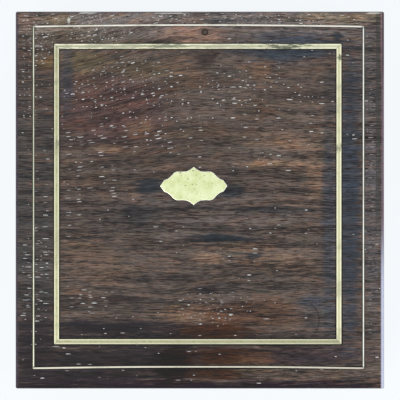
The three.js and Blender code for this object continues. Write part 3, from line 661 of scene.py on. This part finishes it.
# The kinds of pore: where they have opened, how many show elsewhere, the net that they lie in,
# their length and height, how much of the net they fill, and their dullest and brightest tones.
PORE_KINDS = (
    (OPEN_PORES, 0.02, (8.0, 4.0), (2.9, 0.5), 0.5, shade(176, 171, 168), shade(255, 254, 252)),
    (OPEN_PORES, 0.02, (4.8, 3.0), (1.7, 0.45), 0.75, shade(160, 155, 150), shade(255, 254, 252)),
    (OPEN_PORES, 0.03, (3.4, 2.6), (0.9, 0.42), 0.5, shade(160, 154, 150), shade(255, 252, 250)),
    (LONG_PORES, 0.012, (9.0, 2.6), (4.2, 0.42), 0.8, shade(150, 147, 144), shade(255, 252, 250)),
    (COMBED_PORES, 0.0, (6.0, 2.0), (3.6, 0.55), 0.75, shade(116, 110, 108), shade(156, 148, 146)),
)

# Pale spots near the back edge: x, y, half length, half height. Then the painted reflections and
# shade along the lid's rounded side edges: x from and to, y from and to, the tone, and how much of it shows.
PALE_SPOTS = (
    (-91.5, 152.2, 7.0, 0.7),
    (-24.0, 151.9, 12.0, 0.5),
    (141.5, 152.0, 6.0, 0.7),
    (-106.5, 146.2, 1.1, 2.2),
)
EDGE_SHEEN_AND_SHADE = (
    (-151.0, -147.9, -170.0, 170.0, (80, 71, 86), 0.65),
    (143.0, 147.0, -20.0, 170.0, (66, 67, 65), 0.6),
    (147.6, 151.0, -42.0, 116.0, (120, 98, 111), 0.65),
    (146.9, 148.5, 116.0, 170.0, (138, 108, 118), 0.6),
    (148.5, 151.0, 100.0, 170.0, (60, 42, 54), 0.85),
)
RIGHT_HIGHLIGHT_MIDDLE = 148.6  # the middle of the painted highlight along the right edge
KNOT = (4.2, 136.5)
SCRATCH_CENTRE = (80.0, -98.0)
SCRATCH_RADIUS = 17.0
SCRATCH_PART = (94.0, -95.0, 8.0, 17.0)  # where the circle shows: x, y, half length, half height


def build_patch():
    """A soft ellipse on the face, whose edge is as ragged as the grain."""
    takes = {"Vector": "Vector", "Centre": "Vector", "Reach": "Vector", "Ragged": "Float"}
    group, ins, outs = new_group("patch", takes, {"Mask": "Float"})
    offset = vectors(group, "DIVIDE", vectors(group, "SUBTRACT", ins["Vector"], ins["Centre"]), ins["Reach"])
    away = vectors(group, "LENGTH", vectors(group, "MULTIPLY", offset, (1.0, 1.0, 0.0)))
    away = maths(group, "ADD", away, ins["Ragged"])
    wire(group, outs["Mask"], between(group, away, 0.5, 1.25, 1.0, 0.0))
    return group


patch = build_patch()


def soft_spot(tree, place, x, y, length, height, ragged=0.0):
    """The mask of one patch, from its middle, half length and half height."""
    return placed(tree, patch, vector=place, centre=(x, y, 0.0), reach=(length, height, 1.0),
                  ragged=ragged)["Mask"]


def patches_over(tree, start, combine, table, place, ragged):
    """Works through a table of patches, combining each one's mask with what came before it."""
    value = start
    for x, y, length, height, *rest in table:
        value = combine(value, soft_spot(tree, place, x, y, length, height, ragged), rest)
    return value


def inside(tree, value, low, high, soft):
    """A mask that is 1 where a value lies from low to high, with soft ends."""
    above = between(tree, value, low - soft, low + soft)
    return maths(tree, "MULTIPLY", above, between(tree, value, high - soft, high + soft, 1.0, 0.0))


def distance_from(tree, place, centre):
    offset = vectors(tree, "SUBTRACT", place, (*centre, 0.0))
    return vectors(tree, "LENGTH", vectors(tree, "MULTIPLY", offset, (1.0, 1.0, 0.0)))


def middle_of(name):
    low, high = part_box(name)
    return (low + high) / (2 * MM), (high - low) / MM


def outside_strips(tree, place, strip):
    """How far a point lies outside the frame of brass strips, in millimetres, and negative on them."""
    middles = {side: middle_of(f"brass_{strip}_{side}") for side in ("left", "right", "front", "back")}
    left, right = (middles[side][0].x for side in ("left", "right"))
    front, back = (middles[side][0].y for side in ("front", "back"))
    offset = vectors(tree, "SUBTRACT", place, ((left + right) / 2, (front + back) / 2, 0.0))
    offset = vectors(tree, "ABSOLUTE", offset)
    beyond = vectors(tree, "SUBTRACT", offset, ((right - left) / 2, (back - front) / 2, 0.0))
    ways = split(tree, beyond)
    away = maths(tree, "ABSOLUTE", maths(tree, "MAXIMUM", ways["X"], ways["Y"]))
    return maths(tree, "SUBTRACT", away, middles["left"][1].x / 2)


def flow_of_grain(tree, place, parts):
    """The place shifted so that the grain waves, rises to the right and bends round the knot."""
    wave = maths(tree, "SUBTRACT", stretched(tree, place, 90, 34, 2.0), 0.5)
    rising = maths(tree, "MULTIPLY", between(tree, parts["X"], -135.0, 5.0),
                   between(tree, parts["Y"], -20.0, 120.0))
    knot_away = distance_from(tree, place, KNOT)
    side = maths(tree, "SUBTRACT", parts["Y"], KNOT[1])
    side = maths(tree, "DIVIDE", side, maths(tree, "ADD", maths(tree, "ABSOLUTE", side), 1.5))
    round_knot = maths(tree, "MULTIPLY", between(tree, knot_away, 1.5, 11.0, 1.0, 0.0), side)
    shift = sum_of(tree, (wave, 6.0), (rising, -24.0), (round_knot, -3.0))
    return vectors(tree, "ADD", place, combined(tree, Y=shift)), wave, knot_away


def figured(tree, place, along, ragged):
    """The figure laid out on the board, with warm and cold stretches and ribbons among it."""

    def lay_colour(below, mask, rest):
        seen, strength = rest
        return laid(tree, below, polished(*seen), mask, strength)

    tone = patches_over(tree, BOARD_TONE, lay_colour, FIGURE, place, ragged)
    warm = between(tree, stretched(tree, along, 34, 8, 3.0, 0.6), 0.52, 0.66, 0.0, 0.4)
    tone = mixed(tree, warm, tone, tinted(tree, tone, 1.4, 1.12, 0.9))
    cold = between(tree, stretched(tree, along, 44, 7, 3.0, 0.6, 0.4), 0.53, 0.66, 0.0, 0.6)
    tone = mixed(tree, cold, tone, tinted(tree, tone, 0.68, 0.8, 0.84))
    aside = vectors(tree, "ADD", along, RIBBON_START)
    for length, height, rare, share, change in RIBBONS:
        ribbons = stretched(tree, aside, length, height, 2.0, 0.6, 0.3)
        ribbons = between(tree, ribbons, rare, rare + 0.1, 0.0, share)
        tone = mixed(tree, ribbons, tone, tinted(tree, tone, *change))
        aside = vectors(tree, "ADD", aside, RIBBON_STEP)
    return tone


def marked(tree, colour, place, ragged, wave, knot_away):
    """The colour with the knot, short fine checks across the grain and a bent scratch."""
    knot_away = maths(tree, "MULTIPLY_ADD", ragged, 0.7, knot_away)
    heart = between(tree, knot_away, 0.9, 1.9)
    knot = mixed(tree, heart, polished(96, 82, 76), polished(58, 51, 50))
    colour = mixed(tree, between(tree, knot_away, 2.3, 3.3, 0.9, 0.0), colour, knot)
    lean = combined(tree, Y=maths(tree, "MULTIPLY", wave, 4.0))
    upright = vectors(tree, "ADD", turned(tree, place, "YXZ"), lean)
    check = between(tree, stretched(tree, upright, 8, 0.55, 1.0), 0.64, 0.7, 0.0, 0.5)
    some = between(tree, stretched(tree, place, 24, 18, 2.0), 0.45, 0.6)
    colour = laid(tree, colour, VEIN_BLACK, check, some)
    bend = maths(tree, "SUBTRACT", distance_from(tree, place, SCRATCH_CENTRE), SCRATCH_RADIUS)
    scratch = between(tree, maths(tree, "ABSOLUTE", bend), 0.2, 0.7, 1.0, 0.0)
    near = maths(tree, "MULTIPLY", soft_spot(tree, place, *SCRATCH_PART), 0.6)
    return laid(tree, colour, VEIN_BLACK, scratch, near)


def opened(tree, colour, height, place, along, on_top):
    """The colour and the relief with the open pores in them, which are pale with dust."""

    def open_more(below, mask, rest):
        return maths(tree, "MAXIMUM", below, maths(tree, "MULTIPLY", mask, rest[0]))

    for table, few, cell, size, share, dull, bright in PORE_KINDS:
        chance = maths(tree, "MULTIPLY", patches_over(tree, few, open_more, table, place, 0.0), share)
        pores = scattered(tree, along, cell, size, maths(tree, "MULTIPLY", chance, on_top))
        colour = laid(tree, colour, VEIN_BLACK, pores["Rim"], 0.5)
        colour = mixed(tree, pores["Fleck"], colour, mixed(tree, pores["Tone"], dull, bright))
        height = maths(tree, "SUBTRACT", height, pores["Fleck"])
    return colour, height


def glued(tree, colour, place, parts):
    """The colour with dark glue round the strips, which shows less towards the back."""
    shown = maths(tree, "MULTIPLY", between(tree, parts["Y"], -118.0, -60.0, 1.0, 0.55),
                  between(tree, parts["Y"], 90.0, 120.0, 1.0, 0.45))
    for strip, reach in (("band", 1.5), ("line", 0.9)):
        glue = between(tree, outside_strips(tree, place, strip), 0.3, reach, 1.0, 0.0)
        colour = laid(tree, colour, GLUE_BLACK, glue, shown)
    return colour


def handled(tree, colour, place, parts, ragged, board_top):
    """The colour with worn edges, painted reflections and shade along the lid's sides, pale spots and a
    painted highlight.
    """
    worn = worn_edges(tree, place, 0.0, board_top, 2.6)
    behind = between(tree, parts["Y"], -150.0, -140.0, 0.0, 0.6)
    colour = laid(tree, colour, polished(114, 104, 112), worn, behind)
    # Painted reflections and shade on the rounded side edges: a dark reflection at the left, a painted shadow
    # beside the right edge, and a mauve sheen with a dark outer rim on the right rounding.
    for x_low, x_high, y_low, y_high, seen, strength in EDGE_SHEEN_AND_SHADE:
        stretch = maths(tree, "MULTIPLY", inside(tree, parts["X"], x_low, x_high, 0.4),
                        inside(tree, parts["Y"], y_low, y_high, 14.0))
        colour = laid(tree, colour, polished(*seen), stretch, strength)
    # Near-white spots near the back edge.
    pale_spots = patches_over(tree, 0.0, lambda below, mask, rest: maths(tree, "MAXIMUM", below, mask),
                        PALE_SPOTS, place, ragged)
    colour = laid(tree, colour, shade(228, 228, 218), pale_spots, 0.85)
    # Painted highlight: a pale blue-white stretch on the right edge's rounding, where a window's reflection
    # falls.
    aside = maths(tree, "ABSOLUTE", maths(tree, "SUBTRACT", parts["X"], RIGHT_HIGHLIGHT_MIDDLE))
    painted_highlight = maths(tree, "MULTIPLY", between(tree, aside, 0.6, 1.9, 1.0, 0.0),
                   between(tree, parts["Y"], -75.0, -10.0, 1.0, 0.0))
    low, full = (board_top - LID_ROUNDING * share for share in HIGHLIGHT_SHARES)
    return laid(tree, colour, shade(196, 197, 218), painted_highlight, between(tree, parts["Z"], low, full))


def lid_rosewood():
    material, tree, shader, place = new_material("lid_rosewood")
    parts = split(tree, place)
    along, wave, knot_away = flow_of_grain(tree, place, parts)
    ragged = placed(tree, grain, vector=along)["Ragged"]
    board_top = bottom_and_top("lid_board")[1]
    on_top = between(tree, parts["Z"], board_top - LID_ROUNDING, board_top - LID_ROUNDING * TOP_SHARE)
    tone = mixed(tree, on_top, BOARD_EDGE, figured(tree, place, along, ragged))
    # The blue-black share, which stands partly for painted haze, falls off towards the front.
    haze_blue_share = between(tree, parts["Y"], -122.0, -100.0, 0.0, 0.22)
    calm = soft_spot(tree, place, *CALM_PART, ragged)
    even = soft_spot(tree, place, *EVEN_PART)
    stark = soft_spot(tree, place, *STARK_PART, ragged)
    contrast = sum_of(tree, (1.0, 1.0), (calm, -0.68), (even, -0.75), (stark, 0.5))
    colour, height, lines = grained(tree, along, tone, haze_blue_share, contrast)
    colour = marked(tree, colour, place, ragged, wave, knot_away)
    colour, height = opened(tree, colour, height, place, along, on_top)
    colour = glued(tree, colour, place, parts)
    colour = handled(tree, colour, place, parts, ragged, board_top)
    gloss = between(tree, lines["Streak"], 0.0, 1.0, 0.28, 0.38)
    finish_polish(tree, shader, colour, height, gloss)
    return material


coat_nodes(("lid_board",), lid_rosewood())

# Brass let into the lid: a wide mitred band, a thin line outside it, and a cartouche. The strips
# are drawn brass, glued in grooves and rubbed down flush, and darker along their middle; their paler
# edges are partly rubbed brass and partly a painted highlight. The cartouche is sheet brass, and so is the
# escutcheon round the keyhole.

TARNISH_HALF_WIDTH = 2.6  # millimetres across the strip


def strip_brass(name, axis, middle, size, outward, lit_edge_tone, middle_tone, dark_edge, tarnish):
    """A flat strip's brass. The axis is the one that crosses it, and outward is its way to the lid's edge."""
    material, tree, shader, place = new_material(name)
    parts = split(tree, vectors(tree, "SUBTRACT", place, tuple(middle)))
    width, length = (size.y, size.x) if axis == "Y" else (size.x, size.y)
    run = maths(tree, "ABSOLUTE", parts["X" if axis == "Y" else "Y"])
    across = maths(tree, "DIVIDE", maths(tree, "ABSOLUTE", parts[axis]), width / 2)
    mottle = between(tree, clouds(tree, place, 0.32, 4.0, 0.65), 0.36, 0.66)
    # The paler edges are partly rubbed brass and partly a painted highlight where the edges catch light.
    toward_middle = maths(tree, "MULTIPLY", between(tree, across, 0.2, 0.75, 1.0, 0.0),
                   maths(tree, "MULTIPLY_ADD", mottle, 0.3, 0.7))
    colour = mixed(tree, toward_middle, lit_edge_tone, middle_tone)
    from_edge = maths(tree, "MULTIPLY_ADD", across, -width / 2, width / 2)
    colour = mixed(tree, between(tree, from_edge, dark_edge * 0.7, dark_edge * 1.4, 0.9, 0.0), colour, GLUE_BLACK)
    streaks = stretched(tree, place if axis == "Y" else turned(tree, place, "YXZ"), 8, 0.9, 3.0, 0.65)
    streaks = between(tree, streaks, 0.36, 0.64, -0.6, 0.7)
    at_mitre = maths(tree, "MULTIPLY_ADD", parts[axis], outward, (length - width) / 2)
    dulled = between(tree, maths(tree, "SUBTRACT", at_mitre, run), 0.1, 0.5, 0.55, 0.0)
    for x, y, reach, strength in tarnish:
        half = (reach, TARNISH_HALF_WIDTH) if axis == "Y" else (TARNISH_HALF_WIDTH, reach)
        spot = soft_spot(tree, place, x, y, *half, streaks)
        dulled = maths(tree, "MAXIMUM", dulled, maths(tree, "MULTIPLY", spot, strength))
    colour = mixed(tree, dulled, colour, shade(96, 100, 84))
    filmed = between(tree, clouds(tree, place, 0.045, 5.0, 0.7), 0.5, 0.66, 0.0, 0.4)
    colour = mixed(tree, filmed, colour, shade(150, 148, 122))
    wire(tree, shader.inputs["Base Color"], colour)
    shader.inputs["Metallic"].default_value = 1.0
    wire(tree, shader.inputs["Roughness"], between(tree, mottle, 0.0, 1.0, 0.34, 0.5))
    relief(tree, shader, mottle, 0.12, 0.05 * MM)
    return material


OUTWARD = {"front": ("Y", -1.0), "back": ("Y", 1.0), "left": ("X", -1.0), "right": ("X", 1.0)}
# For each strip, the tones at its edges, partly a painted highlight, and along its middle, and the width of
# its edges' grime.
STRIP_TONES = {
    "band_front": (shade(198, 196, 168), shade(146, 144, 112), 0.16),
    "band_back": (shade(242, 239, 209), shade(194, 192, 162), 0.2),
    "band_left": (shade(220, 218, 186), shade(158, 156, 122), 0.27),
    "band_right": (shade(242, 238, 206), shade(194, 192, 152), 0.25),
    "line_front": (shade(200, 194, 178), shade(200, 194, 178), 0.17),
    "line_back": (shade(228, 222, 210), shade(228, 222, 210), 0.05),
    "line_left": (shade(214, 213, 192), shade(214, 213, 192), 0.18),
    "line_right": (shade(230, 228, 218), shade(230, 228, 218), 0.14),
}
# Dulled stretches: x, y, half length, and how dark.
TARNISH = {
    "band_back": ((-66, 125, 64, 0.45), (-28, 125, 16, 0.75), (14, 125, 34, 0.35), (68, 125, 19, 0.95)),
    "band_left": ((-116, 46, 3, 0.5), (-116, 96, 3, 0.4)),
    "band_right": ((113, 116, 2, 0.9), (113, 42, 3, 0.6)),
    "line_left": ((-135.4, 15, 100, 0.32),),
}
for side, (axis, outward) in OUTWARD.items():
    for kind in (f"band_{side}", f"line_{side}"):
        name = f"brass_{kind}"
        look = strip_brass(name, axis, *middle_of(name), outward, *STRIP_TONES[kind], TARNISH.get(kind, ()))
        coat_nodes((name,), look)


def cartouche_brass(name, axis, face):
    """Sheet brass with its filed edges left bright. Its face is square to the axis, at this height."""
    material, tree, shader, place = new_material(name)
    from_face = maths(tree, "ABSOLUTE", maths(tree, "SUBTRACT", split(tree, place)[axis], face / MM))
    filed = between(tree, from_face, 0.02, 0.06)
    cloud = clouds(tree, place, 0.11, 5.0, 0.6)
    fine = clouds(tree, place, 1.1, 2.0)
    share = sum_of(tree, (between(tree, cloud, 0.36, 0.66), 0.7), (between(tree, fine, 0.35, 0.65), 0.3))
    colour = mixed(tree, share, shade(227, 233, 190), shade(194, 200, 144))
    for cell, size, density in (((6.0, 4.8), (1.2, 1.0), 0.4), ((3.2, 2.56), (0.7, 0.6), 0.3)):
        pits = scattered(tree, place, cell, size, density)
        dark = mixed(tree, pits["Tone"], shade(60, 58, 34), shade(170, 176, 126))
        colour = mixed(tree, pits["Fleck"], colour, dark)
    colour = mixed(tree, filed, colour, shade(255, 252, 234))
    wire(tree, shader.inputs["Base Color"], colour)
    shader.inputs["Metallic"].default_value = 1.0
    wire(tree, shader.inputs["Roughness"], between(tree, share, 0.0, 1.0, 0.36, 0.48))
    relief(tree, shader, cloud, 0.1, 0.08 * MM)
    return material


coat_nodes(("cartouche",), cartouche_brass("cartouche_brass", "Z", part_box("cartouche")[1].z))
coat_nodes(("escutcheon",), cartouche_brass("escutcheon_brass", "Y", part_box("escutcheon")[0].y))

# Link plate: brass, let into the lid's front wall and held by two screws. Its two staples
# drop through the lock's slots for the bolt to catch.

coat_nodes(("link_plate",), hardware_brass)
coat_nodes(("link_plate_screw_left", "link_plate_screw_right"), screw_brass)

# Lid pad: wadding under claret silk, gathered along its front and back edges and glued into
# the lid. The silk is blown up like a cushion inside the lid, then drawn into its gathers.

PAD_INSET = Vector((3.0, 3.0, 1.5)) * MM
PAD_ROUNDING = 2.5 * MM
PAD_VOXEL = 4.0 * MM
PAD_GLUED_DEPTH = 1.0 * MM
PAD_SWELLING = 5.0 * MM  # the most that a point moves
PAD_PRESSURE = 4.0
PAD_FRAMES = 20  # of cloth simulation
PLEAT_DEPTH = 1.3 * MM
PLEAT_STEP = 4.4 * MM  # a pleat is pi times as wide
GATHER_SHARE = 0.45  # of the pleats' depth that is left midway between the front and the back
UNDERSIDE_DEPTH = 3.0 * MM  # below the pad's middle, where the pleats have their full depth


def silk_material():
    material, tree, shader, place = new_material("claret_silk")
    cloud = between(tree, clouds(tree, place, 0.03, 3.0), 0.35, 0.65)
    threads = stretched(tree, turned(tree, place, "YXZ"), 14, 0.25, 2.0)
    # Painted shade and light for the pleats: darker and paler streaks along them.
    fold_shading = between(tree, stretched(tree, turned(tree, place, "YXZ"), 80, 3.2, 2.0), 0.36, 0.64)
    share = sum_of(tree, (cloud, 0.25), (fold_shading, 0.4), (threads, 0.35))
    wire(tree, shader.inputs["Base Color"], mixed(tree, share, shade(92, 18, 32), shade(150, 46, 60)))
    wire(tree, shader.inputs["Roughness"], between(tree, threads, 0.3, 0.7, 0.34, 0.5))
    shader.inputs["Sheen Weight"].default_value = 0.35
    shader.inputs["Sheen Roughness"].default_value = 0.3
    relief(tree, shader, threads, 0.25, 0.08 * MM)
    return material


silk = silk_material()


def held_back(piece, rest, most, ceiling):
    """Keeps each point within reach of where it was, and below the board that the pad is glued to."""
    for vertex, start in zip(piece.data.vertices, rest):
        move = vertex.co - start
        if move.length > most:
            vertex.co = start + move * (most / move.length)
        vertex.co.z = min(vertex.co.z, ceiling)


def pad_blank(low, high):
    """A rounded box of even small faces, a little smaller than the room for the pad."""
    bpy.ops.object.select_all(action="DESELECT")
    bpy.ops.mesh.primitive_cube_add(size=1.0, location=(low + high) / 2)
    piece = bpy.context.active_object
    piece.name = "lid_pad_silk"
    piece.scale = high - low - PAD_INSET * 2
    bpy.ops.object.transform_apply(location=True, rotation=True, scale=True)
    bpy.ops.object.mode_set(mode="EDIT")
    bpy.ops.mesh.select_all(action="SELECT")
    bpy.ops.mesh.bevel(offset=PAD_ROUNDING, segments=2)
    bpy.ops.object.mode_set(mode="OBJECT")
    remesh = piece.modifiers.new("remesh", "REMESH")
    remesh.mode = "VOXEL"
    remesh.voxel_size = PAD_VOXEL
    apply_modifiers(piece)
    return piece


def blow_up(piece, ceiling):
    """Swells the pad under pressure, with its back held where it is glued to the lid board."""
    rest = [vertex.co.copy() for vertex in piece.data.vertices]
    held = max(point.z for point in rest) - PAD_GLUED_DEPTH
    back = piece.vertex_groups.new(name="glued")
    back.add([index for index, point in enumerate(rest) if point.z > held], 1.0, "REPLACE")
    cloth = piece.modifiers.new("cloth", "CLOTH")
    cloth.settings.use_pressure = True
    cloth.settings.uniform_pressure_force = PAD_PRESSURE
    cloth.settings.effector_weights.gravity = 0.0
    cloth.settings.vertex_group_mass = "glued"
    for number in range(1, PAD_FRAMES + 1):
        bpy.context.scene.frame_set(number)
    apply_modifiers(piece)
    bpy.context.scene.frame_set(1)
    held_back(piece, rest, PAD_SWELLING, ceiling)


def draw_gathers(piece, low, high):
    """Presses pleats into the pad's underside, deepest at its front and back edges."""
    half = (high - low) / 2
    middle = (high + low) / 2
    for vertex in piece.data.vertices:
        x, y = vertex.co.x - middle.x, vertex.co.y - middle.y
        under = max(0.0, min(1.0, (middle.z - vertex.co.z) / UNDERSIDE_DEPTH))
        edge = abs(y) / half.y
        gather = GATHER_SHARE + (1 - GATHER_SHARE) * edge ** 3
        wander = 1.5 * math.sin(x / (17 * MM)) + 0.7 * math.sin(y / (33 * MM) + x / (41 * MM))
        pleat = 1 - 2 * abs(math.sin(x / PLEAT_STEP + wander))
        fade = max(0.0, min(1.0, (1 - abs(x) / half.x) / 0.04, (1 - edge) / 0.02))
        vertex.co.z -= under * fade * gather * pleat * PLEAT_DEPTH


def lid_pad():
    low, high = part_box("lid_pad")
    piece = pad_blank(low, high)
    blow_up(piece, high.z)
    smooth = piece.modifiers.new("smooth", "SUBSURF")
    smooth.levels = smooth.render_levels = 1
    apply_modifiers(piece)
    draw_gathers(piece, low, high)
    bpy.ops.object.shade_smooth()
    piece.data.materials.clear()
    piece.data.materials.append(silk)
    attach(piece, "lid")
    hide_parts("lid_pad")


lid_pad()

# Tray: thin mahogany sides and dividers on a velvet-covered floor, lifted out by two loops
# of silk ribbon that are pinned inside its ends.

coat_nodes(("tray_front", "tray_back", "tray_divider_cross"), mahogany_across)
coat_nodes(("tray_left", "tray_right", "tray_divider_left", "tray_divider_right"), mahogany_endways)
covered("tray_floor", "tray", 0.5 * MM)


def eased(names, rounding):
    """Eases the sharp edges of carried-over boards, as sanding does."""
    for name in names:
        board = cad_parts[name]
        board.modifiers.new("merge", "WELD").merge_threshold = MERGE_REACH
        round_edges(board, rounding, 2)


eased(("tray_front", "tray_back", "tray_left", "tray_right"), 0.6 * MM)
eased(("tray_divider_left", "tray_divider_right", "tray_divider_cross"), 1.0 * MM)

RIBBON_THICKNESS = 0.3 * MM
RIBBON_BEND_STEPS = 8


def ribbon_material():
    material, tree, shader, place = new_material("claret_ribbon")
    ribs = node(tree, "TexWave", {"Vector": place, "Scale": 0.7}, bands_direction="Z", wave_type="BANDS")
    ribs = ribs.outputs["Fac"]
    wire(tree, shader.inputs["Base Color"], mixed(tree, ribs, shade(104, 22, 34), shade(150, 46, 58)))
    wire(tree, shader.inputs["Roughness"], between(tree, ribs, 0.0, 1.0, 0.6, 0.48))
    shader.inputs["Sheen Weight"].default_value = 0.3
    relief(tree, shader, ribs, 0.4, 0.1 * MM)
    return material


ribbon = ribbon_material()


def ribbon_loop(side):
    """A ribbon folded in two over a small loop, standing in the place of its node."""
    low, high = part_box(f"tray_tab_{side}")
    bend = (high.x - low.x - RIBBON_THICKNESS) / 2
    middle = (low.x + high.x) / 2
    straight = high.z - low.z - bend - RIBBON_THICKNESS
    bpy.ops.object.select_all(action="DESELECT")
    bpy.ops.mesh.primitive_plane_add(size=1.0, location=(0, 0, 0))
    loop = bpy.context.active_object
    loop.name = f"tray_ribbon_{side}"
    bpy.ops.object.mode_set(mode="EDIT")
    bpy.ops.mesh.select_all(action="SELECT")
    bpy.ops.transform.resize(value=(straight, high.y - low.y, 1.0))
    bpy.ops.object.mode_set(mode="OBJECT")
    loop.data.transform(Matrix.Rotation(math.radians(-90), 4, "Y"))
    loop.data.transform(Matrix.Translation((middle - bend, 0.0, low.z + straight / 2)))
    for vertex in loop.data.vertices:
        vertex.select = False
    for edge in loop.data.edges:
        edge.select = all(loop.data.vertices[v].co.z > low.z + straight / 2 for v in edge.vertices)
    for face in loop.data.polygons:
        face.select = False
    bpy.ops.object.mode_set(mode="EDIT")
    bpy.context.tool_settings.mesh_select_mode = (False, True, False)
    bpy.ops.mesh.spin(steps=RIBBON_BEND_STEPS, angle=math.pi, center=(middle, 0.0, low.z + straight),
                      axis=(0.0, 1.0, 0.0))
    bpy.ops.mesh.extrude_region_move(TRANSFORM_OT_translate={"value": (0.0, 0.0, -straight)})
    bpy.ops.mesh.select_all(action="SELECT")
    bpy.ops.mesh.remove_doubles(threshold=MERGE_REACH)
    bpy.ops.mesh.normals_make_consistent(inside=False)
    bpy.context.tool_settings.mesh_select_mode = (True, False, False)
    bpy.ops.object.mode_set(mode="OBJECT")
    wall = loop.modifiers.new("thickness", "SOLIDIFY")
    wall.thickness = RIBBON_THICKNESS
    wall.offset = 0.0
    apply_modifiers(loop)
    bpy.ops.object.shade_smooth_by_angle(angle=SHARP_EDGE)
    loop.data.materials.append(ribbon)
    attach(loop, "tray")
    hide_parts(f"tray_tab_{side}")


for side in ("left", "right"):
    ribbon_loop(side)

# Floor and light: a pale floor without end, a wide soft lamp above the front left and a low
# panel on the right, whose light runs along the lid's rounded edge.

BACKGROUND = shade(242, 246, 249)
BACKGROUND_LIGHT = 1.075
WORLD_LIGHT = 0.62
FLOOR_WIDTH = 12.0
FLOOR_GAP = 0.05 * MM  # between the case and the floor
FLOOR_GLOW_SHARE = 0.9  # the rest of the floor's look is lit by the lamps, and takes the shadow


def background_rays(tree):
    """1 for the rays that show the background itself, and 0 for those that light the object."""
    rays = node(tree, "LightPath").outputs
    seen = maths(tree, "MAXIMUM", rays["Is Camera Ray"], rays["Is Glossy Ray"])
    return maths(tree, "MAXIMUM", seen, rays["Is Transmission Ray"])


def pale_floor():
    bpy.ops.object.select_all(action="DESELECT")
    bpy.ops.mesh.primitive_plane_add(size=FLOOR_WIDTH, location=(0.0, 0.0, -FLOOR_GAP))
    floor = bpy.context.active_object
    floor.name = "floor"
    material = bpy.data.materials.new("pale_floor")
    material.use_nodes = True
    tree = material.node_tree
    tree.nodes.clear()
    lit = node(tree, "BsdfDiffuse", {"Color": BACKGROUND})
    plain = node(tree, "Emission", {"Color": BACKGROUND, "Strength": BACKGROUND_LIGHT})
    plain_share = maths(tree, "MULTIPLY", background_rays(tree), FLOOR_GLOW_SHARE)
    shown = node(tree, "MixShader", {0: plain_share, 1: lit.outputs[0], 2: plain.outputs[0]})
    wire(tree, node(tree, "OutputMaterial").inputs["Surface"], shown.outputs[0])
    floor.data.materials.append(material)


def studio_world():
    world = bpy.data.worlds.new("studio")
    bpy.context.scene.world = world
    world.use_nodes = True
    tree = world.node_tree
    tree.nodes.clear()
    strength = between(tree, background_rays(tree), 0.0, 1.0, WORLD_LIGHT, BACKGROUND_LIGHT)
    light = node(tree, "Background", {"Color": BACKGROUND, "Strength": strength})
    wire(tree, node(tree, "OutputWorld").inputs["Surface"], light.outputs[0])


def lamp(name, place, target, size, watts, colour):
    light = bpy.data.lights.new(name, "AREA")
    light.shape = "SQUARE"
    light.size = size
    light.energy = watts
    light.color = colour
    holder = bpy.data.objects.new(name, light)
    bpy.context.scene.collection.objects.link(holder)
    holder.location = place
    holder.rotation_euler = (Vector(target) - Vector(place)).to_track_quat("-Z", "Y").to_euler()


pale_floor()
studio_world()
lamp("soft_lamp", place=(-0.9, -0.9, 2.0), target=(0.0, 0.0, 0.1), size=1.5, watts=16.0,
     colour=(1.0, 0.98, 0.95))
lamp("right_panel", place=(0.95, -0.32, 0.42), target=(0.1, -0.1, 0.12), size=0.45, watts=4.0,
     colour=(0.86, 0.92, 1.0))

# Camera: straight above the lid, with the lid's back edge at the top of the picture. The lens
# is worked out from the width that the picture takes in.

PICTURE_WIDTH = 0.3252  # metres across the picture, at the height of the lid's top
PICTURE_MIDDLE = (0.12 * MM, 0.05 * MM)
CAMERA_RISE = 1.6  # metres above the lid's top
SENSOR_WIDTH = 36.0  # millimetres, as the lens is
camera = bpy.data.cameras.new("camera")
camera.sensor_width = SENSOR_WIDTH
camera.lens = SENSOR_WIDTH * CAMERA_RISE / PICTURE_WIDTH
camera.clip_start = 0.05
camera.clip_end = 60.0
camera_holder = bpy.data.objects.new("camera", camera)
bpy.context.scene.collection.objects.link(camera_holder)
camera_holder.location = (*PICTURE_MIDDLE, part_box("lid_board")[1].z + CAMERA_RISE)
bpy.context.scene.camera = camera_holder
bpy.context.scene.view_settings.view_transform = "Standard"
